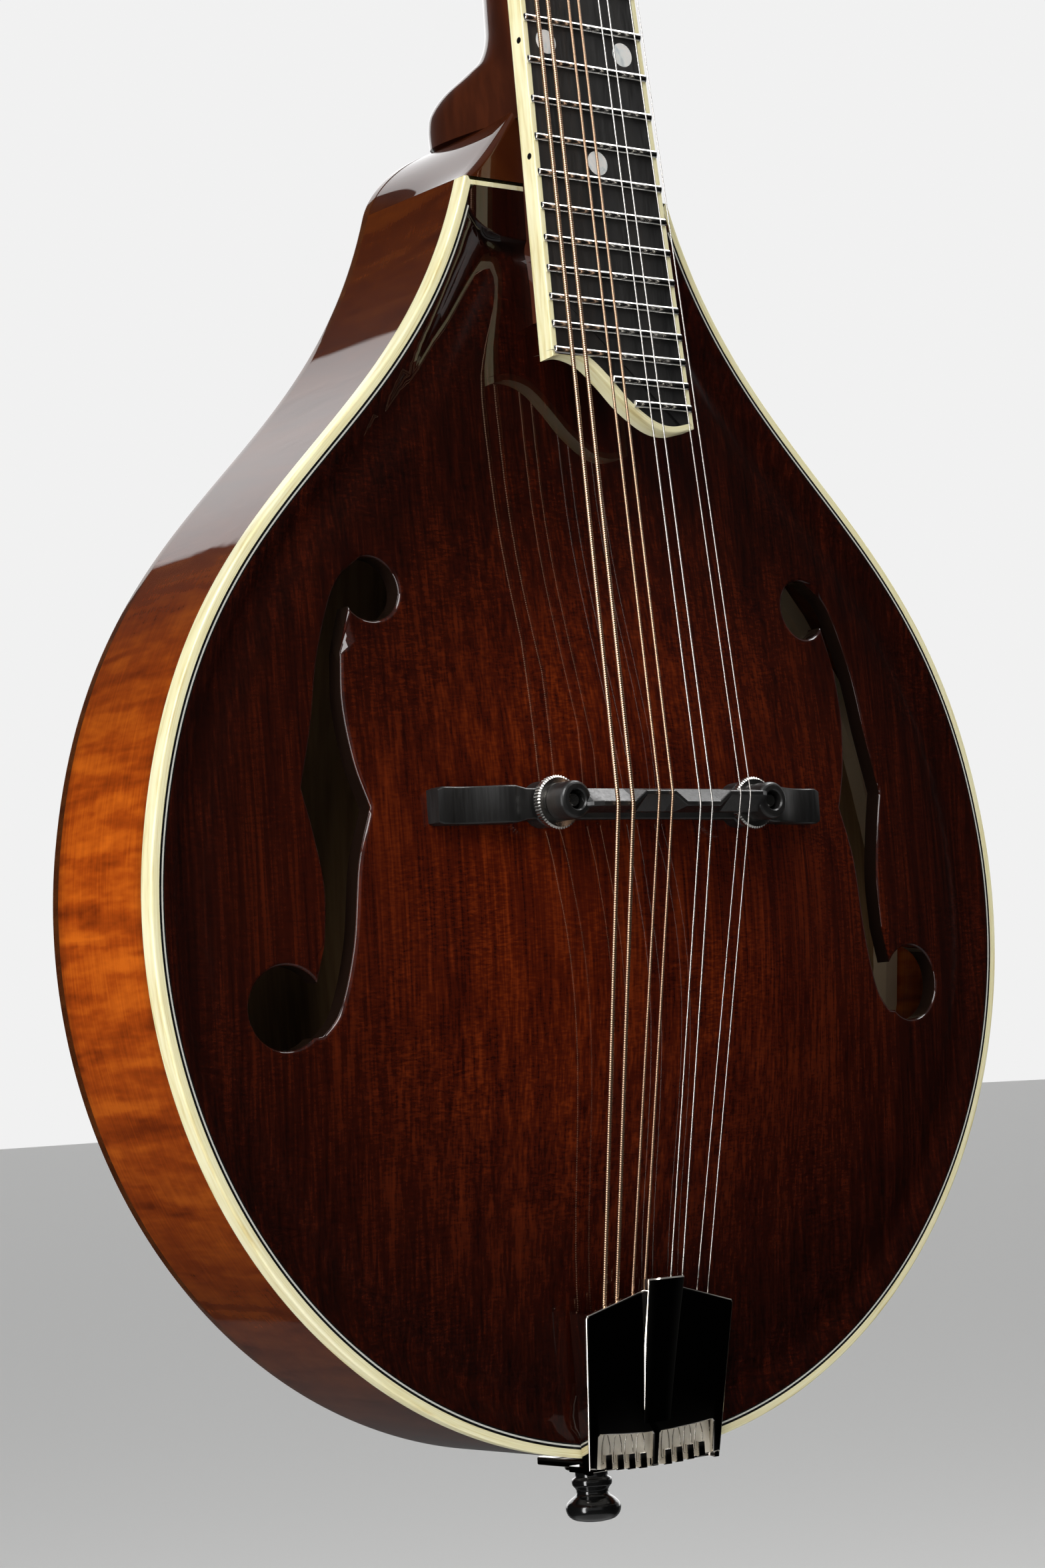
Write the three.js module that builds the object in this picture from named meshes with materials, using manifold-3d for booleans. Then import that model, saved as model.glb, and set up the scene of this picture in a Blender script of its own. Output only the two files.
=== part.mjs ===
// An A-style f-hole mandolin, in millimetres.
// +Z runs up the neck, +X is the treble side and the face looks towards -Y.
// The origin is on the body's centre line, at the tail end of the rim, halfway through its depth.
import * as THREE from "three";
import { mergeVertices } from "three/addons/utils/BufferGeometryUtils.js";
import Module from "manifold-3d";

const wasm = await Module();
wasm.setup();

// ---------- Driving dimensions ----------
const SCALE = 352.4; // nut to bridge
const FRET_COUNT = 23;
const JOINT_FRET = 15; // the fret over the body's flat top edge
const BODY_TOP = 302; // tail to the flat top edge of the top plate
const BOUT_RADIUS = 127.3; // the lower bout is one arc
const SHOULDER_TOP = 317.5; // where the ribs meet the heel
const RIM_DEPTH = 43.5;
const RIB = 2.2;
const BINDING_WIDTH = 2;
const BINDING_HEIGHT = 4.2;
const BACK_EDGE = 3.5; // thickness of the back plate at its edge
const PLATE = 4.2; // thickness of the carved plates
const TOP_ARCH = 14.5;
const BACK_ARCH = 13;
const GLUE = 0.12; // gap kept at every glued face
const NECK_ANGLE = Math.atan(0.078);
const BOARD_THICK = 4.8;
const BOARD_AT_JOINT = 11.9; // board's playing face above the rim plane at the joint fret
const NUT_HALF = 14;
const JOINT_HALF = 19.25; // half the board's width at the joint fret
const BOARD_BINDING = 1.5;
const FRET_HIGH = 1; // the crown, over the board
const HEAD_TILT = THREE.MathUtils.degToRad(15);
const HEAD_THICK = 14;
const OVERLAY = 1.8;
const BRIDGE_Z = 151.4;

const FRONT = -RIM_DEPTH / 2; // y of the rim plane, at the face
const BACK = RIM_DEPTH / 2;
const fretAt = (n) => SCALE * (1 - 2 ** (-n / 12)); // distance from the nut
const NUT_Z = 301.2 + fretAt(JOINT_FRET) * Math.cos(NECK_ANGLE);
const NUT_Y = FRONT - BOARD_AT_JOINT + fretAt(JOINT_FRET) * Math.sin(NECK_ANGLE);
const boardHalf = (s) => NUT_HALF + ((JOINT_HALF - NUT_HALF) / fretAt(JOINT_FRET)) * s;

// ---------- Materials ----------
const material = (color, roughness, metalness = 0) =>
  new THREE.MeshStandardMaterial({ color, roughness, metalness });
const topWood = material(0x5a1e08, 0.25);
const rimWood = material(0x7d3510, 0.25);
const rawWood = material(0xd9b98a, 0.8);
const neckWood = material(0x46170a, 0.25);
const ebony = material(0x15130f, 0.45);
const ivoroid = material(0xe8dcae, 0.35);
const bone = material(0xe9e3cf, 0.4);
const nickel = material(0xd8d2c8, 0.15, 1);
const steel = material(0xc9ccd0, 0.25, 1);
const bronze = material(0xc98a5a, 0.3, 1);
const pearl = material(0xece7dc, 0.3);

// ---------- Solids ----------
function solidOf(geometry) {
  const g = geometry.index ? geometry.toNonIndexed() : geometry.clone();
  for (const name of Object.keys(g.attributes)) {
    if (name !== "position") g.deleteAttribute(name);
  }
  const merged = mergeVertices(g, 1e-4);
  return new wasm.Manifold(
    new wasm.Mesh({
      numProp: 3,
      vertProperties: merged.attributes.position.array,
      triVerts: new Uint32Array(merged.index.array),
    }),
  );
}

function geometryOf(solid) {
  const m = solid.getMesh();
  const g = new THREE.BufferGeometry();
  g.setAttribute("position", new THREE.BufferAttribute(new Float32Array(m.vertProperties), 3));
  g.setIndex(new THREE.BufferAttribute(new Uint32Array(m.triVerts), 1));
  const flat = g.toNonIndexed();
  flat.computeVertexNormals();
  return flat;
}

const cut = (geometry, ...tools) =>
  geometryOf(tools.reduce((made, tool) => made.subtract(solidOf(tool)), solidOf(geometry)));
const join = (...pieces) => geometryOf(pieces.map(solidOf).reduce((a, b) => a.add(b)));
const keep = (geometry, region) => geometryOf(solidOf(geometry).intersect(solidOf(region)));

// A closed body from a list of triangles, turned outwards if its signed volume is negative.
function closedBody(points, triangles) {
  const position = new Float32Array(points.flat());
  const g = new THREE.BufferGeometry();
  g.setAttribute("position", new THREE.BufferAttribute(position, 3));
  const corner = triangles.map((t) => t.map((i) => new THREE.Vector3(...points[i])));
  const volume = corner.reduce((sum, [a, b, c]) => sum + a.dot(b.clone().cross(c)), 0);
  const outward = volume < 0 ? triangles.map(([a, b, c]) => [a, c, b]) : triangles;
  g.setIndex(outward.flat());
  return g;
}

// A body lofted through rings of points, with flat fan ends.
function loft(rings) {
  const n = rings[0].length;
  const triangles = [];
  for (let r = 0; r + 1 < rings.length; r++) {
    for (let i = 0; i < n; i++) {
      const a = r * n + i;
      const b = r * n + ((i + 1) % n);
      triangles.push([a, b, b + n], [a, b + n, a + n]);
    }
  }
  const last = (rings.length - 1) * n;
  for (let i = 1; i + 1 < n; i++) {
    triangles.push([0, i + 1, i], [last, last + i, last + i + 1]);
  }
  return closedBody(rings.flat(), triangles);
}

const shapeOf = (points) => new THREE.Shape(points.map(([x, z]) => new THREE.Vector2(x, z)));

// An outline in x and z, extruded from y0 back to y1.
function slab(shape, y0, y1) {
  const made = Array.isArray(shape) ? shapeOf(shape) : shape;
  const g = new THREE.ExtrudeGeometry(made, { depth: y1 - y0, bevelEnabled: false, curveSegments: 6 });
  return g.rotateX(Math.PI / 2).translate(0, y1, 0);
}

function box(x0, x1, y0, y1, z0, z1) {
  return new THREE.BoxGeometry(x1 - x0, y1 - y0, z1 - z0).translate(
    (x0 + x1) / 2,
    (y0 + y1) / 2,
    (z0 + z1) / 2,
  );
}

// A cylinder along z, y or x, from a to b, centred on the two other coordinates.
function rod(axis, radius, a, b, p, q, sides = 12) {
  const g = new THREE.CylinderGeometry(radius, radius, b - a, sides);
  const mid = (a + b) / 2;
  if (axis === "z") return g.rotateX(Math.PI / 2).translate(p, q, mid);
  if (axis === "x") return g.rotateZ(Math.PI / 2).translate(mid, p, q);
  return g.translate(p, mid, q);
}

// ---------- Body outline ----------
// The flank from the bout's arc to the shoulder, outer edge.
const CORNER = [31.2, BODY_TOP]; // where the top plate's edge turns in to the neck
const BOUT_END = THREE.MathUtils.degToRad(8.5); // where the bout's arc runs into the flank
const FLANK_LEAN = THREE.MathUtils.degToRad(17.1); // the flank's lean at the corner
const FLANK_PULL = [83.2, 70.9]; // handle lengths of the flank's curve
const boutPoint = (a) => [BOUT_RADIUS * Math.cos(a), BOUT_RADIUS + BOUT_RADIUS * Math.sin(a)];

function curve(handles, share) {
  const [a, b, c, d] = handles;
  const r = 1 - share;
  return [0, 1].map(
    (k) => r ** 3 * a[k] + 3 * r * r * share * b[k] + 3 * r * share * share * c[k] + share ** 3 * d[k],
  );
}

const FLANK = [
  boutPoint(BOUT_END),
  boutPoint(BOUT_END).map((v, k) => v + FLANK_PULL[0] * [-Math.sin(BOUT_END), Math.cos(BOUT_END)][k]),
  CORNER.map((v, k) => v + FLANK_PULL[1] * [Math.sin(FLANK_LEAN), -Math.cos(FLANK_LEAN)][k]),
  CORNER,
];

// The shoulder from the corner to the neck joint. Its front edge runs almost straight, and its back
// edge carries the flank on and then rounds over.
const LEAN = Math.tan(NECK_ANGLE);
const jointAt = (y) => SHOULDER_TOP + (y - FRONT) * LEAN; // z of the neck joint, which leans with the neck
const SHOULDER_FRONT = [CORNER, [26.6, 304.6], [20.6, 311.4], [15.4, SHOULDER_TOP]];
const SHOULDER_BACK = [CORNER, [29.1, 308.7], [20.5, 317], [8, jointAt(BACK)]];
const SHOULDER_STEPS = 6;

// An open line moved to its left, which is inwards for one that runs up the treble side.
function insetLine(points, inset) {
  return points.map(([x, z], i) => {
    const [ax, az] = points[Math.max(0, i - 1)];
    const [bx, bz] = points[Math.min(points.length - 1, i + 1)];
    const length = Math.hypot(bx - ax, bz - az);
    return [x - (inset * (bz - az)) / length, z + (inset * (bx - ax)) / length];
  });
}

// The shoulder at a depth y, moved inwards by inset.
function shoulderLine(y, inset = 0) {
  const share = (y - FRONT) / RIM_DEPTH;
  const handles = SHOULDER_FRONT.map((p, i) => p.map((v, k) => v + (SHOULDER_BACK[i][k] - v) * share));
  const points = [];
  for (let i = 0; i <= SHOULDER_STEPS; i++) {
    const nearby = [-0.01, 0, 0.01].map((d) => curve(handles, Math.min(1, Math.max(0, i / SHOULDER_STEPS + d))));
    points.push(insetLine(nearby, inset)[1]);
  }
  points[SHOULDER_STEPS][1] = jointAt(y);
  return points.map(([x, z]) => [x, Math.min(jointAt(y), Math.max(z, BODY_TOP + GLUE))]);
}

// Right half of the outline from the tail to the corner, moved inwards by inset.
function halfOutline(inset = 0) {
  const whole = [];
  const arcSteps = 10;
  const flankSteps = 9;
  for (let i = 0; i <= arcSteps; i++) {
    whole.push(boutPoint(-Math.PI / 2 + (i / arcSteps) * (Math.PI / 2 + BOUT_END)));
  }
  for (let i = 1; i <= flankSteps; i++) whole.push(curve(FLANK, i / flankSteps));
  const half = insetLine(whole, inset);
  half[0] = [0, inset];
  return half;
}

const mirrored = (half) => half.filter(([x]) => x > 0.01).map(([x, z]) => [-x, z]).reverse();

// Closed outline of the top plate, which ends in a straight edge below the neck joint.
function topOutline(inset = 0) {
  const top = BODY_TOP - inset;
  const half = halfOutline(inset).filter(([, z]) => z < top - 0.5);
  const [x, z] = half[half.length - 1];
  half.push([x - Math.tan(FLANK_LEAN) * (top - z), top]);
  return [...half, ...mirrored(half)];
}

// Closed outline of the back plate, which runs on round the shoulders to the heel.
function fullOutline() {
  const half = [...halfOutline(), ...shoulderLine(BACK - BACK_EDGE).slice(1)];
  return [...half, ...mirrored(half)];
}

// Distance from a point to the body's edge.
const EDGE = fullOutline();
function edgeDistance(x, z) {
  let best = Infinity;
  EDGE.forEach(([ax, az], i) => {
    const [bx, bz] = EDGE[(i + 1) % EDGE.length];
    const dx = bx - ax;
    const dz = bz - az;
    const t = Math.min(1, Math.max(0, ((x - ax) * dx + (z - az) * dz) / (dx * dx + dz * dz)));
    best = Math.min(best, Math.hypot(x - ax - t * dx, z - az - t * dz));
  });
  return best;
}

// Height of a carved plate's outer face above the rim plane: a recurve inside the edge, then the arch.
const RECURVE = 1.6;
const RECURVE_AT = 9;
function archHeight(x, z, arch) {
  const d = edgeDistance(x, z);
  const rise = Math.min(1, (1 - d / BOUT_RADIUS) / 0.93);
  const dip = RECURVE * Math.exp(-(((d - RECURVE_AT) / 5) ** 2));
  return arch * (0.5 + 0.5 * Math.cos(Math.PI * rise)) - dip;
}

// A plate over an outline, between two faces given as functions of x and z.
function plate(outline, front, back, centre, steps) {
  const n = outline.length;
  const points = [];
  for (const face of [front, back]) {
    for (let k = 0; k < steps; k++) {
      const f = 1 - k / steps;
      for (const [x, z] of outline) {
        const px = centre[0] + (x - centre[0]) * f;
        const pz = centre[1] + (z - centre[1]) * f;
        points.push([px, face(px, pz), pz]);
      }
    }
    points.push([centre[0], face(...centre), centre[1]]);
  }
  const side = n * steps + 1;
  const triangles = [];
  for (let i = 0; i < n; i++) {
    const j = (i + 1) % n;
    for (let k = 0; k + 1 < steps; k++) {
      const [a, b, c, d] = [k * n + i, k * n + j, (k + 1) * n + j, (k + 1) * n + i];
      triangles.push([a, b, c], [a, c, d]);
      triangles.push([side + a, side + c, side + b], [side + a, side + d, side + c]);
    }
    const inner = (steps - 1) * n;
    triangles.push([inner + i, inner + j, side - 1]);
    triangles.push([side + inner + i, side + side - 1, side + inner + j]);
    triangles.push([i, side + i, side + j], [i, side + j, j]);
  }
  return closedBody(points, triangles);
}

// ---------- F-holes ----------
const UPPER_LOBE = [66, 201.8, 7.4]; // x, z, radius
const LOWER_LOBE = [94.6, 107.7, 9.4];
const STEM_INNER = [
  [[70.5, 196], [75.3, 187], [76.1, 175], [74.5, 162], [71.4, 151.7]],
  [[71.4, 151.7], [75.2, 139], [77.6, 120.5], [81.5, 106.5], [90, 98.8]],
];
const STEM_OUTER = [
  [[88.5, 110], [84.4, 122], [83.8, 134], [85.8, 147], [87.9, 156.2]],
  [[87.9, 156.2], [84.3, 170.5], [81.2, 186], [76.4, 200], [69, 208.4]],
];

function fHoleStem(side) {
  const shape = new THREE.Shape();
  const run = ([first, ...rest]) => {
    shape.lineTo(side * first[0], first[1]);
    shape.splineThru(rest.map(([x, z]) => new THREE.Vector2(side * x, z)));
  };
  shape.moveTo(side * STEM_INNER[0][0][0], STEM_INNER[0][0][1]);
  shape.splineThru(STEM_INNER[0].slice(1).map(([x, z]) => new THREE.Vector2(side * x, z)));
  shape.splineThru(STEM_INNER[1].slice(1).map(([x, z]) => new THREE.Vector2(side * x, z)));
  run(STEM_OUTER[0]);
  shape.splineThru(STEM_OUTER[1].slice(1).map(([x, z]) => new THREE.Vector2(side * x, z)));
  return slab(shape, FRONT - 15, FRONT + 15);
}

function fHole(side) {
  const lobe = ([x, z, radius]) => rod("y", radius, FRONT - 15, FRONT + 15, side * x, z, 18);
  return join(fHoleStem(side), lobe(UPPER_LOBE), lobe(LOWER_LOBE));
}

// ---------- Sound box ----------
const topFace = (x, z) => FRONT - archHeight(x, z, TOP_ARCH);
const topUnder = (x, z) => Math.min(FRONT + BINDING_HEIGHT, topFace(x, z) + PLATE);
const backFace = (x, z) => BACK + archHeight(x, z, BACK_ARCH);
const backUnder = (x, z) => Math.max(BACK - BACK_EDGE, backFace(x, z) - PLATE);

function makeTopPlate() {
  const outline = topOutline(BINDING_WIDTH + GLUE);
  return cut(plate(outline, topFace, topUnder, [0, 150], 8), fHole(-1), fHole(1));
}

function makeBackPlate() {
  return plate(fullOutline(), backUnder, backFace, [0, 150], 7);
}

const RIB_FRONT = FRONT + BINDING_HEIGHT + GLUE;
const RIB_BACK = BACK - BACK_EDGE - GLUE;
const PIN_RADIUS = 3;
const pinHole = () => rod("z", PIN_RADIUS + 0.3, -6, 30, 0, 0);

// The part of a rib or block past the top plate, through closed outlines ring(y) from front to back.
function shoulderLoft(ring, front, back) {
  const rings = [];
  const steps = 4;
  for (let i = 0; i <= steps; i++) {
    const y = front + ((back - front) * i) / steps;
    rings.push(ring(y).map(([x, z]) => [x, y, z]));
  }
  return loft(rings);
}

// One bent rib, from the tail to the heel. Past the top plate it rises to the rim plane.
function makeRib(side) {
  const outer = halfOutline(0);
  const inner = halfOutline(RIB);
  outer[0] = [GLUE, 0];
  inner[0] = [GLUE, RIB];
  const last = outer.length - 1;
  const on = 1.2; // the band runs on into the shoulder
  outer.push([outer[last][0] - on * 0.75, outer[last][1] + on]);
  inner.push([inner[last][0] - on * 0.9, inner[last][1] + on]);
  const band = [...outer, ...inner.reverse()].map(([x, z]) => [side * x, z]);
  const low = slab(band, RIB_FRONT, RIB_BACK);
  const ring = (y) => {
    const line = shoulderLine(y);
    const inside = insetLine(line, RIB).map(([x, z]) => [x, Math.max(line[0][1], z)]);
    inside[SHOULDER_STEPS] = [line[SHOULDER_STEPS][0] - 2 * RIB, jointAt(y)];
    return [...line, ...inside.reverse()].map(([x, z]) => [side * x, z]);
  };
  return cut(join(low, shoulderLoft(ring, FRONT, RIB_BACK)), pinHole(), tenonBox(0.3, FRONT - 1));
}

const BLOCK_FOOT = 268;
const TENON = { half: 9, deep: 14, back: 12 };
const tenonBox = (grow, front) =>
  box(
    -TENON.half - grow,
    TENON.half + grow,
    front,
    TENON.back + grow,
    SHOULDER_TOP - TENON.deep - grow,
    SHOULDER_TOP + 6,
  );

function makeHeadBlock() {
  const inset = RIB + GLUE;
  const half = halfOutline(inset).filter(([, z]) => z > BLOCK_FOOT + 2 && z < BODY_TOP - 3);
  half.unshift([42, BLOCK_FOOT]);
  half.push([CORNER[0] - RIB - 0.8, BODY_TOP - 1], [24, BODY_TOP + 1]);
  const low = slab([...half, ...mirrored(half)], RIB_FRONT + GLUE, RIB_BACK);
  const ring = (y) => {
    const line = shoulderLine(y, RIB + 1.4);
    line[SHOULDER_STEPS][0] -= 2 * RIB;
    return [...line, ...mirrored(line)];
  };
  return cut(join(low, shoulderLoft(ring, FRONT, RIB_BACK)), tenonBox(0.3, FRONT - 1));
}

function makeTailBlock() {
  const inset = RIB + GLUE;
  const half = halfOutline(inset).filter(([x, z]) => x < 34 && z < 30);
  const [x, z] = half[half.length - 1];
  half.push([x - 4, z + 14]);
  return cut(slab([...half, ...mirrored(half)], RIB_FRONT + GLUE, RIB_BACK), pinHole());
}

const LINING = { wide: 4, high: 6 };
function makeLining(side, y0, y1) {
  const from = RIB + GLUE;
  const inside = ([x, z]) => x > 36 && z < BLOCK_FOOT - 4;
  const outer = halfOutline(from).filter(inside);
  const inner = halfOutline(from + LINING.wide).filter((p, i) => inside(halfOutline(from)[i]));
  return slab([...outer, ...inner.reverse()].map(([x, z]) => [side * x, z]), y0, y1);
}

// A tone bar under the top, carved to the arch and tapered at both ends.
function makeToneBar(side) {
  const rings = [];
  const [low, high, steps] = [62, 232, 8];
  for (let i = 0; i <= steps; i++) {
    const z = low + ((high - low) * i) / steps;
    const x = side * (24 + 0.06 * (BRIDGE_Z - z));
    const deep = 2 + 8 * Math.sin((Math.PI * i) / steps) ** 0.7;
    const [l, r] = [x - 3, x + 3];
    rings.push([
      [l, topUnder(l, z) + 0.35, z],
      [r, topUnder(r, z) + 0.35, z],
      [r - 1, topUnder(r, z) + 0.35 + deep, z],
      [l + 1, topUnder(l, z) + 0.35 + deep, z],
    ]);
  }
  return loft(rings);
}

function makeBodyBinding() {
  const shape = shapeOf(topOutline(0));
  shape.holes.push(new THREE.Path(topOutline(BINDING_WIDTH).map(([x, z]) => new THREE.Vector2(x, z))));
  return slab(shape, FRONT, FRONT + BINDING_HEIGHT);
}

// ---------- Neck frame ----------
// Its origin is at the nut, on the board's playing face; -Z runs down the board and -Y is its normal.
const neckFrame = new THREE.Group();
neckFrame.position.set(0, NUT_Y, NUT_Z);
neckFrame.rotation.x = -NECK_ANGLE;
neckFrame.updateMatrix();
const toNeck = neckFrame.matrix.clone().invert();
const neckPoint = (x, y, z) => new THREE.Vector3(x, y, z).applyMatrix4(neckFrame.matrix).toArray();

// The head frame sits in the neck frame and tilts back. Its z runs up the head, and y = 0 is its face.
const headFrame = new THREE.Group();
headFrame.position.set(0, 3.4, 2);
headFrame.rotation.x = -HEAD_TILT;
headFrame.updateMatrix();
neckFrame.add(headFrame);

// ---------- Fingerboard ----------
// The end of the board: it sweeps from the bass corner down to the treble side.
const BOARD_END = [
  [-15.7, 248.4],
  [-10, 250],
  [-4.6, 254.4],
  [1, 259.8],
  [8, 264.2],
  [14, 265.3],
];
const BASS_CORNER = 249.3;
const TREBLE_CORNER = 263.9;

const BOARD_OUTLINE = [
  [boardHalf(0), 0],
  [-boardHalf(0), 0],
  [-boardHalf(BASS_CORNER), -BASS_CORNER],
  ...BOARD_END.map(([x, s]) => [x, -s]),
  [boardHalf(TREBLE_CORNER), -TREBLE_CORNER],
];

// A closed anticlockwise outline moved inwards, with mitred corners.
function insetLoop(points, inset) {
  return points.map(([x, z], i) => {
    const [ax, az] = points[(i + points.length - 1) % points.length];
    const [bx, bz] = points[(i + 1) % points.length];
    const before = new THREE.Vector2(az - z, x - ax).normalize();
    const after = new THREE.Vector2(z - bz, bx - x).normalize();
    const mitre = inset / (1 + before.dot(after));
    return [x + (before.x + after.x) * mitre, z + (before.y + after.y) * mitre];
  });
}
const boardOutline = (inset) => insetLoop(BOARD_OUTLINE, inset);

// Where a fret's bass end lies: at the board's side, or where the sweep crosses it.
function fretBassEnd(s) {
  if (s < BASS_CORNER - 1.5) return -boardHalf(s) + 0.4;
  const sweep = [...BOARD_END];
  const i = sweep.findIndex(([, at]) => at > s + 1.4);
  const [[x0, s0], [x1, s1]] = [sweep[i - 1], sweep[i]];
  return x0 + ((x1 - x0) * (s + 1.4 - s0)) / (s1 - s0) + 0.8;
}

// The ebony board with its fret crowns, whose ends lie over the binding.
function makeFingerboard() {
  const pieces = [slab(boardOutline(BOARD_BINDING + 0.05), 0, BOARD_THICK)];
  for (let n = 1; n <= FRET_COUNT; n++) {
    const s = fretAt(n);
    const [left, right] = [fretBassEnd(s), boardHalf(s) - 0.4];
    pieces.push(box(left, right, -FRET_HIGH, 0, -s - 0.7, -s + 0.7));
  }
  return join(...pieces);
}

// The binding lies round the board but for its nut end, just below the fret crowns.
function makeBoardBinding() {
  const inside = slab(boardOutline(BOARD_BINDING), -1, 6);
  return cut(slab(boardOutline(0), 0.08, BOARD_THICK), inside, box(-20, 20, -1, 6, -BOARD_BINDING - 0.1, 1));
}

const RISER_END = 237.5;
const RISER_HALF = 13.9;
// The wood under the board over the body, fitted to the top plate below it.
function makeRiser() {
  const rings = [];
  const steps = 4;
  for (let i = 0; i <= steps; i++) {
    const s = RISER_END + ((189.5 - RISER_END) * i) / steps;
    const under = BOARD_THICK + GLUE;
    const ring = [neckPoint(-RISER_HALF, under, -s), neckPoint(RISER_HALF, under, -s)];
    for (const x of [RISER_HALF, 0, -RISER_HALF]) {
      const [, , z] = neckPoint(x, under, -s);
      const floor = z > BODY_TOP - 18 ? FRONT - 0.2 : topFace(x, z) - 0.35;
      ring.push([x, floor, z]);
    }
    rings.push(ring);
  }
  return loft(rings);
}

const NUT_HIGH = 1.4;
function makeNut() {
  const outline = [
    [-boardHalf(0), 0.15],
    [boardHalf(0), 0.15],
    [boardHalf(0), 4.4],
    [-boardHalf(0), 4.4],
  ];
  return slab(outline, -NUT_HIGH, BOARD_THICK - 0.4);
}

// ---------- Neck ----------
// At the rim plane: z, half width at the board, y of the back of the neck, and how round the section is.
const NECK_STATIONS = [
  [SHOULDER_TOP + 0.3, 15.3, 21.6, 0.34],
  [322.5, 15.6, 21.6, 0.34],
  [326.2, 16.2, 20.2, 0.38],
  [329.5, 16.9, 15.5, 0.48],
  [332.1, 17.3, 7.5, 0.6],
  [334.5, 17.6, 0, 0.72],
  [339, 17.8, -3.4, 0.83],
  [346, 17.9, -3.9, 0.85],
  [370, 17.3, -3.4, 0.85],
  [430, 15.8, -1.2, 0.85],
  [488, 14.3, 1.6, 0.85],
  [499, 14.2, 3.4, 0.85],
  [509, 14.4, 8, 0.85],
];
const NECK_SIDES = 14;

// A section of the neck, square to the board.
function neckRing([z, half, back, round]) {
  const down = (NUT_Z - z) / Math.cos(NECK_ANGLE);
  const [, top] = neckPoint(0, BOARD_THICK + GLUE, -down);
  const ring = [];
  for (let i = 0; i <= NECK_SIDES; i++) {
    const a = (Math.PI * i) / NECK_SIDES;
    const x = half * Math.sign(Math.cos(a)) * Math.abs(Math.cos(a)) ** round;
    const y = top + (back - top) * Math.sin(a) ** 0.9;
    ring.push([x, y, z + (y - FRONT) * LEAN]);
  }
  return ring;
}

const HEAD_OUTLINE = [
  [14.4, -3],
  [14.6, 3],
  [17.5, 10],
  [22.5, 18],
  [24.4, 30],
  [27.4, 140],
  [27, 147],
  [23.4, 152],
  [13, 156.5],
  [0, 158],
];
const headOutline = () => [...HEAD_OUTLINE, ...mirrored(HEAD_OUTLINE)];

const POST_X = 15;
const POST_AT = [36, 59, 82, 105]; // up the head
const POST_RADIUS = 3.1;
const POST_HIGH = 9; // above the head's face
const ROD_CHANNEL = { half: 3, deep: 9.5 };

function makeNeck() {
  const shaft = loft(NECK_STATIONS.map(neckRing)).applyMatrix4(toNeck);
  const head = slab(headOutline(), OVERLAY + GLUE, HEAD_THICK).applyMatrix4(headFrame.matrix);
  const tenon = tenonBox(0, FRONT + 0.2).applyMatrix4(toNeck);
  const boardSide = box(-40, 40, -40, BOARD_THICK + GLUE, -300, 4.6);
  const channel = box(-ROD_CHANNEL.half, ROD_CHANNEL.half, 4, BOARD_THICK + ROD_CHANNEL.deep, -182, -8);
  const holes = [];
  for (const side of [-1, 1]) {
    for (const at of POST_AT) {
      const hole = rod("y", POST_RADIUS + 0.5, -5, HEAD_THICK + 5, side * POST_X, at, 8);
      holes.push(hole.applyMatrix4(headFrame.matrix));
    }
  }
  const nozzle = box(-3, 3, 0, 8, -14, 16).applyMatrix4(headFrame.matrix);
  return cut(join(shaft, head, tenon), boardSide, channel, nozzle, ...holes);
}

function makeTrussRod() {
  const bar = box(-2.6, 2.6, BOARD_THICK + 0.6, BOARD_THICK + 8.6, -180, -22);
  return join(bar, rod("z", 2.2, -24, -9, 0, BOARD_THICK + 4.6, 6));
}

function makeOverlay() {
  const holes = [];
  for (const side of [-1, 1]) {
    for (const at of POST_AT) holes.push(rod("y", POST_RADIUS + 0.5, -3, 5, side * POST_X, at, 8));
  }
  const outline = headOutline().map(([x, t]) => [x, Math.max(t, 4.2)]);
  return cut(slab(outline, 0, OVERLAY), box(-3, 3, -1, 3, 3, 16), ...holes);
}

// A bell-shaped cover over the truss rod's end.
function makeRodCover() {
  const half = [
    [8.5, 6],
    [8, 9],
    [6, 15],
    [3.6, 24],
    [1.6, 28.5],
    [0, 29.3],
  ];
  return slab([...half, ...mirrored(half)], -1.8, -GLUE);
}

// ---------- Tuning machines ----------
const GEAR_TEETH = 14;
const PITCH = 1.885; // the worm's thread and the gear's teeth
const GEAR_RADIUS = (GEAR_TEETH * PITCH) / (2 * Math.PI);
const WORM_RADIUS = 2.1;
const AXIS_GAP = GEAR_RADIUS + WORM_RADIUS;
const GEAR_Y = HEAD_THICK + 4.1; // the gears' middle plane, behind the head
const GEAR_WIDE = 2.4;
const ADDENDUM = 0.5;
const DEDENDUM = 0.75;
const TOOTH_TWIST = (GEAR_WIDE * PITCH) / (2 * Math.PI * WORM_RADIUS) / GEAR_RADIUS; // across the gear
const TOOTH = [
  [-0.3, -DEDENDUM],
  [-0.13, ADDENDUM],
  [0.13, ADDENDUM],
  [0.3, -DEDENDUM],
]; // share of the pitch, and height

function gearRing(y, turn) {
  const ring = [];
  for (let tooth = 0; tooth < GEAR_TEETH; tooth++) {
    for (const [share, high] of TOOTH) {
      const a = ((tooth + share) * 2 * Math.PI) / GEAR_TEETH + turn;
      const r = GEAR_RADIUS + high;
      ring.push([r * Math.sin(a), y, r * Math.cos(a)]);
    }
  }
  return ring;
}

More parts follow.
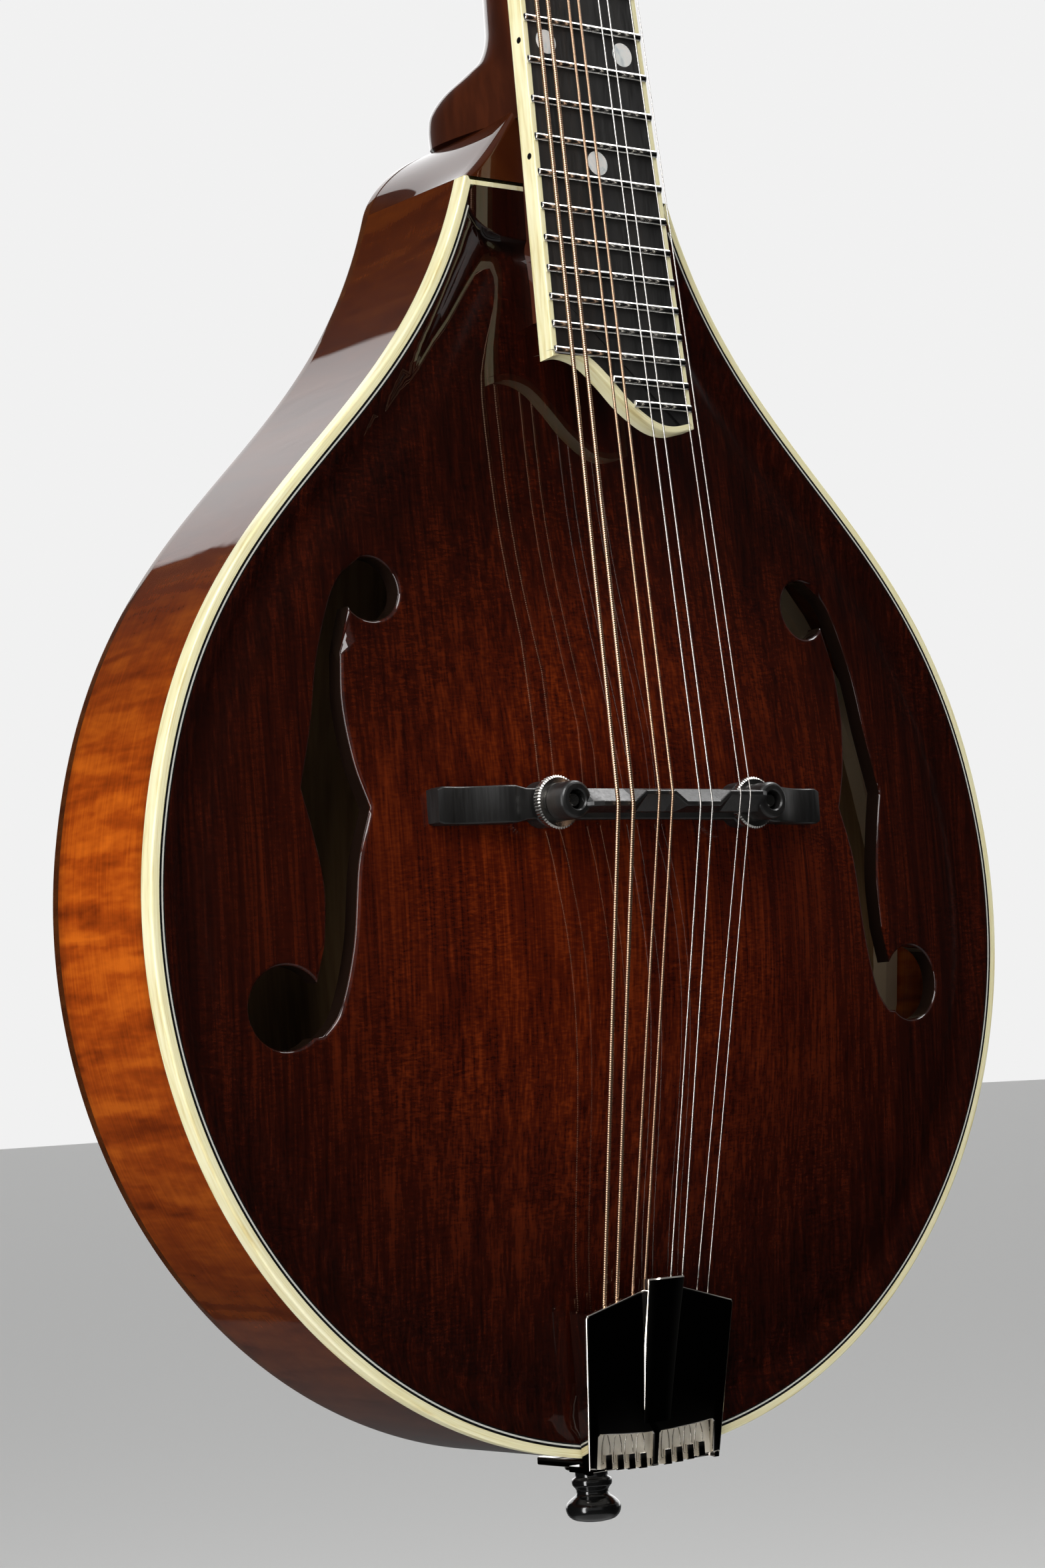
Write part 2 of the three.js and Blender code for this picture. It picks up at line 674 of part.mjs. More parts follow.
// A string post with its gear, on its own axis. The teeth lean to follow the worm's thread.
function makePost() {
  const rings = [
    gearRing(GEAR_Y - GEAR_WIDE / 2, TOOTH_TWIST / 2),
    gearRing(GEAR_Y + GEAR_WIDE / 2, -TOOTH_TWIST / 2),
  ];
  const n = rings[0].length;
  const points = [...rings.flat(), [0, rings[0][0][1], 0], [0, rings[1][0][1], 0]];
  const triangles = [];
  for (let i = 0; i < n; i++) {
    const j = (i + 1) % n;
    triangles.push([i, j, n + j], [i, n + j, n + i], [2 * n, j, i], [2 * n + 1, n + i, n + j]);
  }
  const gear = closedBody(points, triangles);
  return join(gear, rod("y", POST_RADIUS, -POST_HIGH, GEAR_Y + 2.2, 0, 0, 10));
}

const WORM_TURNS = 2;
const WORM_SIDES = 8;
const THREAD_SHARE = [0.1, 0.27]; // half the thread at its crest and at its root, as shares of the pitch
// The worm, its shaft and the button, along +X from the post's axis.
function makeKnob(phase) {
  const rings = [];
  const rows = Math.round(WORM_TURNS * 6);
  for (let r = 0; r <= rows; r++) {
    const x = (r / rows - 0.5) * WORM_TURNS * PITCH;
    const ring = [];
    for (let i = 0; i < WORM_SIDES; i++) {
      const a = (2 * Math.PI * i) / WORM_SIDES;
      const turn = x / PITCH - a / (2 * Math.PI) + phase;
      const away = Math.abs(turn - Math.round(turn));
      const [crest, root] = THREAD_SHARE;
      const t = 1 - Math.min(1, Math.max(0, (away - crest) / (root - crest)));
      const radius = WORM_RADIUS - DEDENDUM + t * (ADDENDUM + DEDENDUM);
      ring.push([x, radius * Math.sin(a), radius * Math.cos(a)]);
    }
    rings.push(ring);
  }
  const shaft = rod("x", 1.2, -5.6, 20, 0, 0, 8);
  const button = new THREE.SphereGeometry(1, 8, 6).scale(7.2, 3.3, 6).translate(25.5, 0, 0);
  const collar = rod("x", 2.2, 17.6, 19.6, 0, 0, 8);
  return join(loft(rings), shaft, collar, button);
}

const PLATE_Y = HEAD_THICK + GLUE;
const EAR = { reach: 3.6, thick: 1, out: 6 };
function makeTunerPlate(side) {
  const ends = [POST_AT[0] - 8, POST_AT[3] + 14];
  const outline = [];
  for (const [z, dir] of [
    [ends[0], -1],
    [ends[1], 1],
  ]) {
    const xs = [8.6, 12, 18, 21.4].map((x) => side * x);
    const lift = [0, 3, 3, 0];
    const run = xs.map((x, i) => [x, z + dir * lift[i]]);
    outline.push(...(dir < 0 ? run : run.reverse()));
  }
  const pieces = [slab(outline, PLATE_Y, PLATE_Y + 1)];
  const holes = [];
  for (const at of POST_AT) {
    const z = at + AXIS_GAP;
    for (const along of [-1, 1]) {
      const mid = POST_X + along * (EAR.reach + 0.9);
      const x = [side * (mid - EAR.thick / 2), side * (mid + EAR.thick / 2)].sort((p, q) => p - q);
      pieces.push(box(...x, PLATE_Y + 0.5, GEAR_Y + 2.6, z - 1.9, z + 2.6));
    }
    holes.push(rod("x", 1.45, ...[side * 8, side * 23].sort((p, q) => p - q), GEAR_Y, z, 8));
    holes.push(rod("y", POST_RADIUS + 0.5, PLATE_Y - 2, PLATE_Y + 3, side * POST_X, at, 8));
  }
  return cut(join(...pieces), ...holes);
}

// ---------- Bridge ----------
const POST_OUT = 29.7; // the bridge posts, either side of the centre line
const BASE_HALF = 57.8;
const BASE_TOP = 16.2; // heights above the rim plane
const WHEEL_LOW = 17.5;
const WHEEL_TOP = 19.5;
const SADDLE_LOW = 19.7;
const CROWN_TOP = 28.8;
const up = (h) => FRONT - h;

function makeBridgeBase() {
  const rings = [];
  const stations = [-BASE_HALF, -52, -45, -39, -37, -20, 0, 20, 37, 39, 45, 52, BASE_HALF];
  for (const x of stations) {
    const away = Math.abs(x);
    const floor = Math.max(archHeight(x, BRIDGE_Z - 4.2, TOP_ARCH), archHeight(x, BRIDGE_Z + 4.2, TOP_ARCH)) + 0.3;
    const relief = away < 30 ? 1.6 * Math.cos((Math.PI * away) / 60) : 0;
    const foot = floor + 4.4 + 2.2 * Math.cos((Math.PI * (away - 37)) / 21) ** 2;
    const crown = away < 38 ? BASE_TOP : foot;
    const half = away < 38 ? 3.6 : 4.3;
    rings.push([
      [x, up(floor + relief * 0.4), BRIDGE_Z - half],
      [x, up(crown), BRIDGE_Z - half],
      [x, up(crown), BRIDGE_Z + half],
      [x, up(floor + relief * 0.4), BRIDGE_Z + half],
    ]);
  }
  const pads = [-1, 1].map((s) => rod("y", 5.4, up(BASE_TOP), up(13), s * POST_OUT, BRIDGE_Z, 14));
  const holes = [-1, 1].map((s) => rod("y", 1.75, up(30), up(11), s * POST_OUT, BRIDGE_Z, 10));
  return cut(join(loft(rings), ...pads), ...holes);
}

const makeBridgePost = (s) => rod("y", 1.5, up(25), up(11.9), s * POST_OUT, BRIDGE_Z, 10);

function makeThumbwheel() {
  const wheel = rod("y", 6.2, up(WHEEL_TOP), up(WHEEL_LOW), 0, 0, 16);
  return cut(wheel, rod("y", 1.75, up(24), up(12), 0, 0, 10));
}

// Compensation of each course's crown, towards the tail and towards the neck.
const CROWN = [
  [-26, -13, -1.1],
  [-13, -1, 1.3],
  [-1, 12.5, -1.1],
  [12.5, 26, 1.3],
];

function makeSaddle() {
  const pieces = [];
  pieces.push(box(-30, 30, up(25), up(SADDLE_LOW), BRIDGE_Z - 2.6, BRIDGE_Z + 2.6));
  for (const s of [-1, 1]) pieces.push(rod("y", 4.4, up(26.2), up(SADDLE_LOW), s * POST_OUT, BRIDGE_Z, 14));
  for (const [x0, x1, lean] of CROWN) {
    const rings = [x0, x1].map((x) => [
      [x, up(24), BRIDGE_Z - 2.6],
      [x, up(CROWN_TOP), BRIDGE_Z + lean - 0.5],
      [x, up(CROWN_TOP), BRIDGE_Z + lean + 0.5],
      [x, up(24), BRIDGE_Z + 2.6],
    ]);
    pieces.push(loft(rings));
  }
  const holes = [-1, 1].map((s) => rod("y", 1.75, up(30), up(12), s * POST_OUT, BRIDGE_Z, 10));
  return cut(join(...pieces), ...holes);
}

// ---------- Tailpiece ----------
const HOOK_X = [-14.05, -10.6, -7.2, -3.75, 3.75, 7.2, 10.6, 14.05];
const TAIL_LOW = -2.4; // the tailpiece's lower end
const COVER_RISE = [2.7, 8.4]; // the sloping cover's height over the rim plane, at its lower end and its wings
const COVER_THICK = 1.2;
const WING = [22.3, 34.4]; // the cover's upper corners, and the ends of its peak
const PEAK = [5.2, 39];
const WALL_FOOT = [0.4, 1.9]; // the side walls' lower edge, over the rim plane
const HOOK_TOP = 3.3;
const HOOK_GRIP = 1.45; // height of a string's end at its hook
const FLOOR = [0.2, 0.75];

const COVER_SLOPE = (COVER_RISE[1] - COVER_RISE[0]) / (WING[1] - TAIL_LOW);
const COVER_TILT = Math.atan(COVER_SLOPE);
const alongCover = (z) => (z - TAIL_LOW) / Math.cos(COVER_TILT);
// The cover's own frame: z runs up its face from the lower edge, and y is the depth below its face.
const coverFrame = new THREE.Matrix4().makeRotationX(COVER_TILT).setPosition(0, up(COVER_RISE[0]), TAIL_LOW);

const coverEdge = (x) => {
  const slope = (PEAK[1] - WING[1]) / (WING[0] - PEAK[0]);
  return PEAK[1] - slope * Math.max(0, Math.abs(x) - PEAK[0]);
};

function makeTailpiece() {
  const [low, wing, peak] = [[19.8, 0], [WING[0], alongCover(WING[1])], [PEAK[0], alongCover(PEAK[1])]];
  const window = { half: 17.4, rib: 1, top: 9.3 };
  const sill = low[0] + ((wing[0] - low[0]) * window.top) / wing[1];
  const half = [[sill, window.top], wing, peak];
  const pieces = [slab([...half, ...mirrored(half)], 0, COVER_THICK)];
  // The raised tab stands proud of the cover's upper end and sinks into it lower down.
  const tab = [
    [5.4, -1.6, 44.3],
    [3.8, -0.05, 13],
  ];
  pieces.push(
    loft(
      tab.map(([side, high, z]) => [
        [-side, high, z],
        [side, high, z],
        [side, 0.6, z],
        [-side, 0.6, z],
      ]),
    ),
  );
  for (const s of [-1, 1]) {
    const wall = [
      [low, COVER_RISE[0] - WALL_FOOT[0]],
      [wing, COVER_RISE[1] - WALL_FOOT[1]],
    ];
    pieces.push(
      loft(
        wall.map(([[x, z], deep]) => [
          [s * x, 0, z],
          [s * x, deep, z],
          [s * (x - 1.4), deep, z],
          [s * (x - 1.4), 0, z],
        ]),
      ),
    );
    const post = [window.half, 19.2].map((x) => s * x).sort((p, q) => p - q);
    pieces.push(box(...post, 0, COVER_THICK, 0, window.top + 0.6));
  }
  pieces.push(box(-window.rib, window.rib, 0, COVER_THICK, 0, window.top + 0.6));
  for (const piece of pieces) piece.applyMatrix4(coverFrame);
  // The floor under the windows, the apron over the rim and the plate down the tail.
  const [bed, floor] = FLOOR;
  pieces.push(box(-18.7, 18.7, up(floor), up(bed), TAIL_LOW, 15));
  pieces.push(box(-window.rib, window.rib, up(COVER_RISE[0]), up(bed), TAIL_LOW + 0.4, TAIL_LOW + 2));
  pieces.push(box(-18.2, 18.2, up(floor), FRONT + 7, TAIL_LOW, TAIL_LOW + 1.8));
  pieces.push(box(-11, 11, FRONT + 6, 8.5, TAIL_LOW, TAIL_LOW + 1.8));
  for (const x of HOOK_X) {
    pieces.push(box(x - 0.9, x + 0.9, up(HOOK_TOP), up(bed + 0.2), TAIL_LOW + 0.2, TAIL_LOW + 3.4));
  }
  const screwHoles = [-7.2, 7.2].map((x) => rod("z", 1.5, -8, 3, x, -9.5, 8));
  return cut(join(...pieces), rod("z", PIN_RADIUS + 0.3, -8, 3, 0, 0), ...screwHoles);
}

function makeTailScrew(x) {
  const head = rod("z", 2.6, TAIL_LOW - 1.6, TAIL_LOW - GLUE, x, -9.5, 12);
  return join(head, rod("z", 1.2, TAIL_LOW - 0.5, -0.3, x, -9.5, 8));
}

function makeEndPin() {
  const profile = [
    [0, -16.4],
    [3, -16.4],
    [5.5, -15.5],
    [6.6, -13.4],
    [6, -11.7],
    [4.1, -10.4],
    [3.8, -9.2],
    [4.8, -8],
    [4.8, -6.4],
    [4, -5.4],
    [4, TAIL_LOW - 0.2],
    [PIN_RADIUS, TAIL_LOW - 0.2],
    [PIN_RADIUS - 0.4, 14],
    [0, 14],
  ];
  const points = profile.map(([r, z]) => new THREE.Vector2(r, z));
  return new THREE.LatheGeometry(points, 16).rotateX(Math.PI / 2);
}

// ---------- Strings ----------
// Two strings to a course, bass to treble: name, radius, x and half the gap at the nut and again at the
// bridge, the tuners' side and the first of their two places.
const COURSES = [
  ["g", 0.51, -11.2, 1.3, -18.4, 2.2, -1, 0],
  ["d", 0.33, -3.7, 1.2, -6.1, 2, -1, 2],
  ["a", 0.2, 3.7, 1.1, 6.1, 1.8, 1, 2],
  ["e", 0.15, 11.2, 1, 18.4, 1.5, 1, 0],
];
const COIL_STEPS = 7;
const HOOK_END = TAIL_LOW + 3.8; // where a string's loop meets its hook

function stringPath(course, pair) {
  const [, radius, nutX, nutGap, bridgeX, bridgeGap, side, firstPost] = COURSES[course];
  const way = pair ? 1 : -1;
  const post = POST_AT[firstPost + (side < 0 ? pair : 1 - pair)];
  const lean = CROWN[course][2];
  const points = [];
  // Round the post, on its inner side, and off towards the nut.
  const turn = POST_RADIUS + 0.35 + radius;
  for (let i = COIL_STEPS; i >= 0; i--) {
    const a = (i / COIL_STEPS) * Math.PI * 1.3;
    const local = new THREE.Vector3(
      side * (POST_X - turn * Math.cos(a)),
      -3.4 - 0.25 * i,
      post + turn * Math.sin(a),
    );
    points.push(local.applyMatrix4(headFrame.matrix).applyMatrix4(neckFrame.matrix));
  }
  const atNut = nutX + way * nutGap;
  const overNut = -NUT_HIGH - 0.2 - radius;
  points.push(new THREE.Vector3(...neckPoint(atNut, overNut, 3.4)));
  points.push(new THREE.Vector3(...neckPoint(atNut, overNut, 0.6)));
  const atBridge = bridgeX + way * bridgeGap;
  const crown = up(CROWN_TOP + 0.15 + radius);
  points.push(new THREE.Vector3(atBridge, crown, BRIDGE_Z + lean + 0.5));
  points.push(new THREE.Vector3(atBridge, crown, BRIDGE_Z + lean - 0.5));
  // Held down by the cover's edge, then to the hook.
  const hook = HOOK_X[course * 2 + pair];
  const edge = coverEdge(hook) - 0.6;
  const under = COVER_RISE[0] + (edge - TAIL_LOW) * COVER_SLOPE - COVER_THICK / Math.cos(COVER_TILT);
  const share = (BRIDGE_Z - edge) / (BRIDGE_Z - HOOK_END);
  const atEdge = atBridge + (hook - atBridge) * share;
  points.push(new THREE.Vector3(atEdge, up(under - 0.3 - radius), edge));
  points.push(new THREE.Vector3(hook, up(HOOK_GRIP), HOOK_END));
  return points;
}

// A round wire through points, with its section square to the path.
function wire(points, radius, sides) {
  const rings = points.map((p, i) => {
    const before = points[Math.max(0, i - 1)];
    const after = points[Math.min(points.length - 1, i + 1)];
    const along = after.clone().sub(before).normalize();
    const across = new THREE.Vector3(1, 0, 0);
    if (Math.abs(along.x) > 0.9) across.set(0, 0, 1);
    const u = across.sub(along.clone().multiplyScalar(across.dot(along))).normalize();
    const v = along.clone().cross(u);
    const ring = [];
    for (let k = 0; k < sides; k++) {
      const a = (2 * Math.PI * k) / sides;
      const q = p.clone().addScaledVector(u, radius * Math.cos(a)).addScaledVector(v, radius * Math.sin(a));
      ring.push(q.toArray());
    }
    return ring;
  });
  return loft(rings);
}

// ---------- Assembly ----------
const mandolin = new THREE.Group();
function add(parent, name, geometry, look) {
  const mesh = new THREE.Mesh(geometry, look);
  mesh.name = name;
  parent.add(mesh);
  return mesh;
}
const SIDES = [
  ["bass", -1],
  ["treble", 1],
];

add(mandolin, "top_plate", makeTopPlate(), topWood);
add(mandolin, "back_plate", makeBackPlate(), rimWood);
add(mandolin, "head_block", makeHeadBlock(), neckWood);
add(mandolin, "tail_block", makeTailBlock(), rawWood);
add(mandolin, "body_binding", makeBodyBinding(), ivoroid);
for (const [name, s] of SIDES) {
  add(mandolin, `rib_${name}`, makeRib(s), rimWood);
  add(mandolin, `lining_top_${name}`, makeLining(s, RIB_FRONT + GLUE, RIB_FRONT + LINING.high), rawWood);
  add(mandolin, `lining_back_${name}`, makeLining(s, RIB_BACK - LINING.high, RIB_BACK), rawWood);
  add(mandolin, `tone_bar_${name}`, makeToneBar(s), rawWood);
  add(mandolin, `bridge_post_${name}`, makeBridgePost(s), nickel);
  const wheel = add(mandolin, `thumbwheel_${name}`, makeThumbwheel(), nickel);
  wheel.position.set(s * POST_OUT, 0, BRIDGE_Z);
}
add(mandolin, "bridge_base", makeBridgeBase(), ebony);
add(mandolin, "bridge_saddle", makeSaddle(), ebony);
add(mandolin, "tailpiece", makeTailpiece(), nickel);
add(mandolin, "tailpiece_screw_bass", makeTailScrew(-7.2), nickel);
add(mandolin, "tailpiece_screw_treble", makeTailScrew(7.2), nickel);
add(mandolin, "end_pin", makeEndPin(), ebony);
add(mandolin, "fingerboard_riser", makeRiser(), neckWood);

mandolin.add(neckFrame);
add(neckFrame, "neck", makeNeck(), neckWood);
add(neckFrame, "truss_rod", makeTrussRod(), steel);
add(neckFrame, "fingerboard", makeFingerboard(), ebony);
add(neckFrame, "fingerboard_binding", makeBoardBinding(), ivoroid);
add(neckFrame, "nut", makeNut(), bone);
add(headFrame, "headstock_overlay", makeOverlay(), ebony);
add(headFrame, "truss_rod_cover", makeRodCover(), ebony);

for (const [name, s] of SIDES) {
  add(headFrame, `tuner_plate_${name}`, makeTunerPlate(s), nickel);
  POST_AT.forEach((at, i) => {
    const post = add(headFrame, `tuner_post_${name}_${i + 1}`, makePost(), nickel);
    post.position.set(s * POST_X, 0, at);
    const knob = add(headFrame, `tuner_knob_${name}_${i + 1}`, makeKnob(s < 0 ? 0.5 : 0), pearl);
    knob.position.set(s * POST_X, GEAR_Y, at + AXIS_GAP);
    if (s < 0) knob.rotation.y = Math.PI;
  });
}

COURSES.forEach(([name, radius], course) => {
  for (const pair of [0, 1]) {
    const look = course < 2 ? bronze : steel;
    add(mandolin, `string_${name}${pair + 1}`, wire(stringPath(course, pair), radius, 6), look);
  }
});

export default mandolin;
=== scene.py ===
"""An A-style f-hole mandolin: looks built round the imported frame.

Lengths in this script are millimetres in the frame's own axes: +Z up the neck, +X the treble side,
and the face towards -Y. make() turns them into metres.
"""

import math

import bmesh
import bpy
import numpy as np
from mathutils import Matrix, Vector, geometry


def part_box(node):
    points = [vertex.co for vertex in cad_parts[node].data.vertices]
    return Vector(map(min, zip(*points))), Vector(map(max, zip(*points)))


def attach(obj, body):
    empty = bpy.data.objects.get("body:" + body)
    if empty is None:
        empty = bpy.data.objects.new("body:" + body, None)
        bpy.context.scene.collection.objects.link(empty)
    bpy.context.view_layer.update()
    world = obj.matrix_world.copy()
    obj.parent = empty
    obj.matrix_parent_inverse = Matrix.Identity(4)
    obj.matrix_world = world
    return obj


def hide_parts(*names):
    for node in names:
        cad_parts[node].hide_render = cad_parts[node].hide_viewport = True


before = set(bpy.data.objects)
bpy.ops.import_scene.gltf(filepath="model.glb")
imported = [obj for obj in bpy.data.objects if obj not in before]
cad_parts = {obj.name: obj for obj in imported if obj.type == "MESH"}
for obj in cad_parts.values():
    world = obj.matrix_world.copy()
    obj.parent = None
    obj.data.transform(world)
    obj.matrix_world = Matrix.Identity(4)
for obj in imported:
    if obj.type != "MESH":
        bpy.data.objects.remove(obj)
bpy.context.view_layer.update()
MM = 0.001
scene = bpy.context.scene


# ---------- Driving sizes ----------
def cad(node):
    """Lowest and highest corner of a CAD node, in millimetres."""
    low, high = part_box(node)
    return np.array(low) / MM, np.array(high) / MM


FRONT = cad("body_binding")[0][1]  # y of the rim plane, at the face
BACK = -FRONT
BODY_TOP = cad("body_binding")[1][2]
SHOULDER_TOP = cad("rib_bass")[1][2]
BOUT = 127.3  # the lower bout's radius
BOUT_END = math.radians(8.5)  # where the bout's arc runs into the flank
FLANK_PULL = (83.2, 70.9)  # handle lengths of the flank's curve
FLANK_LEAN = math.radians(17.1)  # the flank's lean where it meets the straight top edge
CORNER = np.array([31.2, BODY_TOP])
SHOULDER = np.array([15.4, SHOULDER_TOP])
BINDING = 2.0
BINDING_HIGH = 4.2
RIB = 2.2
BACK_EDGE = 3.5
PLATE = 4.2
TOP_ARCH = 14.5
BACK_ARCH = 13.0
RISER_HALF = 13.9  # half the width of the wood under the board's end

SCALE = 352.4
FRETS = 23
NECK_ANGLE = math.atan(0.078)
HEAD_TILT = math.radians(15)
BOARD_THICK = 4.8
BOARD_EDGE = 1.5  # the board's binding
NUT_HALF = 14.0
JOINT_HALF = 19.25
JOINT_FRET = 15
JOINT_Z = 301.2
BOARD_AT_JOINT = 11.9


def fret_at(n):
    return SCALE * (1 - 2 ** (-n / 12))


def board_half(s):
    return NUT_HALF + (JOINT_HALF - NUT_HALF) * s / fret_at(JOINT_FRET)


NUT_Z = JOINT_Z + fret_at(JOINT_FRET) * math.cos(NECK_ANGLE)
NUT_Y = FRONT - BOARD_AT_JOINT + fret_at(JOINT_FRET) * math.sin(NECK_ANGLE)
NECK = Matrix.Translation((0, NUT_Y, NUT_Z)) @ Matrix.Rotation(-NECK_ANGLE, 4, "X")
HEAD = NECK @ Matrix.Translation((0, 3.4, 2)) @ Matrix.Rotation(-HEAD_TILT, 4, "X")


# ---------- Node materials ----------
class Nodes:
    """A short way to write a material's node tree."""

    def __init__(self, name):
        self.material = bpy.data.materials.new(name)
        self.material.use_nodes = True
        self.tree = self.material.node_tree
        self.shader = self.tree.nodes["Principled BSDF"]

    def add(self, kind, inputs=None, **settings):
        node = self.tree.nodes.new("ShaderNode" + kind)
        for key, value in settings.items():
            setattr(node, key, value)
        for key, value in (inputs or {}).items():
            self.put(node.inputs[key], value)
        return node

    def put(self, socket, value):
        if hasattr(value, "is_output"):
            self.tree.links.new(value, socket)
        elif hasattr(value, "outputs"):
            self.tree.links.new(value.outputs[0], socket)
        else:
            socket.default_value = value

    def math(self, operation, a, b=0.0):
        return self.add("Math", {0: a, 1: b}, operation=operation)

    def plus(self, a, b):
        return self.math("ADD", a, b)

    def minus(self, a, b):
        return self.math("SUBTRACT", a, b)

    def times(self, a, b):
        return self.math("MULTIPLY", a, b)

    def mapped(self, value, low, high, to_low=0.0, to_high=1.0):
        inputs = {0: value, 1: low, 2: high, 3: to_low, 4: to_high}
        return self.add("MapRange", inputs, interpolation_type="SMOOTHSTEP")

    def mix(self, share, a, b):
        node = self.add("Mix", data_type="RGBA")
        for index, value in ((0, share), (6, a), (7, b)):
            if isinstance(value, tuple) and len(value) == 3:
                value = (*value, 1)
            self.put(node.inputs[index], value)
        return node.outputs[2]

    def place(self):
        """The point on the object, in metres."""
        return self.add("TexCoord").outputs["Object"]

    def attribute(self, name):
        return self.add("Attribute", attribute_name=name).outputs["Fac"]

    def split(self, source):
        node = self.add("SeparateXYZ", {0: source})
        return node.outputs[0], node.outputs[1], node.outputs[2]

    def joined(self, x, y):
        return self.add("CombineXYZ", {0: x, 1: y, 2: 0.0}).outputs[0]

    def stretched(self, source, scale):
        return self.add("Mapping", {0: source, 3: scale}).outputs[0]

    def noise(self, where, scale, detail=3.0, rough=0.5, warp=0.0):
        inputs = {"Vector": where, "Scale": scale, "Detail": detail, "Roughness": rough, "Distortion": warp}
        return self.add("TexNoise", inputs).outputs[0]

    def ramp(self, value, stops):
        node = self.add("ValToRGB", {0: value})
        elements = node.color_ramp.elements
        while len(elements) < len(stops):
            elements.new(0.5)
        for element, (at, color) in zip(elements, stops):
            element.position = at
            element.color = (*color, 1)
        return node.outputs[0]

    def bump(self, height, distance, strength=1.0):
        return self.add("Bump", {"Height": height, "Distance": distance, "Strength": strength})

    def finish(self, **inputs):
        for key, value in inputs.items():
            self.put(self.shader.inputs[key.replace("_", " ")], value)
        return self.material

    def lacquered(self, color, bump, **more):
        """Wood under a clear gloss."""
        return self.finish(
            Base_Color=color,
            Roughness=0.5,
            Specular_IOR_Level=0.03,
            Normal=bump,
            Coat_Weight=1.0,
            Coat_Roughness=0.02,
            Coat_IOR=1.5,
            **more,
        )


def spruce_top():
    """Quartered spruce under a dark sunburst lacquer, with silky cross figure."""
    n = Nodes("spruce_sunburst")
    place = n.place()
    x, _, z = n.split(place)
    # The burst: an amber middle that darkens to the edge, in an oval.
    across = n.math("DIVIDE", x, 0.125)
    along = n.math("DIVIDE", n.minus(z, 0.128), 0.122)
    far = n.math("POWER", n.plus(n.times(across, across), n.times(along, along)), 0.5)
    uneven = n.noise(n.stretched(place, (9, 9, 4)), 1.0, 3)
    burst = n.plus(far, n.times(n.minus(uneven, 0.5), 0.35))
    # Growth rings run up the top, about a millimetre apart, in wider light and dark bands.
    rings = n.noise(n.stretched(place, (1, 1, 0.02)), 1350, 2, 0.6)
    bands = n.noise(n.stretched(place, (1, 1, 0.05)), 240, 2, 0.6)
    # The cross figure: short wavy flecks across the grain, stronger in patches.
    flecks = n.noise(n.stretched(place, (0.24, 1, 1)), 1700, 2, 0.5, 0.5)
    patches = n.mapped(n.noise(place, 30, 2), 0.42, 0.68, 0.45, 1.0)
    grain = n.plus(n.times(rings, 0.58), n.times(bands, 0.42))
    figure = n.times(n.minus(flecks, 0.5), n.times(patches, 0.52))
    light = n.plus(grain, figure)
    warm = (
        (0.32, (0.022, 0.0020, 0.0006)),
        (0.50, (0.058, 0.0058, 0.0010)),
        (0.70, (0.145, 0.0190, 0.0026)),
    )
    dark = (
        (0.30, (0.0055, 0.0011, 0.0006)),
        (0.52, (0.0150, 0.0021, 0.0008)),
        (0.74, (0.042, 0.0052, 0.0014)),
    )
    color = n.mix(n.mapped(burst, 0.22, 0.95), n.ramp(light, warm), n.ramp(light, dark))
    # The cut walls of the f-holes are stained black.
    _, facing, _ = n.split(n.add("TexCoord").outputs["Normal"])
    color = n.mix(n.mapped(n.math("ABSOLUTE", facing), 0.30, 0.65), (0.009, 0.0045, 0.003), color)
    # The cove below the ledge, which the mesh's shade marks, is painted near black: painted shade under the
    # ledge over a dark stain.
    color = n.mix(n.attribute("shade"), color, (0.004, 0.0016, 0.0012))
    return n.lacquered(color, n.bump(n.plus(rings, n.times(flecks, 0.4)), 0.00002, 0.25))


def flamed_maple(name, light, middle, dark):
    """Maple with a flame across its grain. The mesh's run is metres along the grain and its side metres
    across it; its shade is how far the colour darkens towards near black."""
    n = Nodes(name)
    flat = n.joined(n.attribute("run"), n.attribute("side"))
    stripe = n.noise(n.stretched(flat, (1, 0.16, 1)), 165, 2.5, 0.55, 0.5)
    ripple = n.noise(n.stretched(flat, (1, 0.3, 1)), 520, 2, 0.5)
    fibre = n.noise(n.stretched(flat, (0.06, 1, 1)), 1500, 2)
    figure = n.plus(n.times(stripe, 0.72), n.times(ripple, 0.28))
    light_at = n.plus(figure, n.times(n.minus(fibre, 0.5), 0.25))
    color = n.ramp(light_at, [(0.30, dark), (0.47, middle), (0.66, light)])
    color = n.mix(n.attribute("shade"), color, (0.020, 0.0050, 0.0022))
    # The lacquer follows the figure a little, so what it mirrors is wavy.
    skin = n.bump(n.noise(n.stretched(flat, (1, 0.35, 1)), 70, 2, 0.5, 1.2), 0.00012, 0.5)
    return n.lacquered(color, n.bump(fibre, 0.00002, 0.12), Coat_Normal=skin)


def solid_wood(name, light, dark, coat, rough, grain=(1, 1, 0.05), scale=420):
    """Plain wood. The grain says how the pattern is stretched along each axis."""
    n = Nodes(name)
    place = n.place()
    fine = n.noise(n.stretched(place, grain), scale, 3, 0.6)
    broad = n.noise(n.stretched(place, tuple(0.4 * g for g in grain)), scale * 0.25, 2)
    figure = n.plus(n.times(fine, 0.6), n.times(broad, 0.4))
    color = n.mix(n.mapped(figure, 0.3, 0.7), dark, light)
    return n.finish(
        Base_Color=color,
        Roughness=rough,
        Specular_IOR_Level=0.2,
        Normal=n.bump(fine, 0.00003, 0.25),
        Coat_Weight=coat,
        Coat_Roughness=0.03,
    )


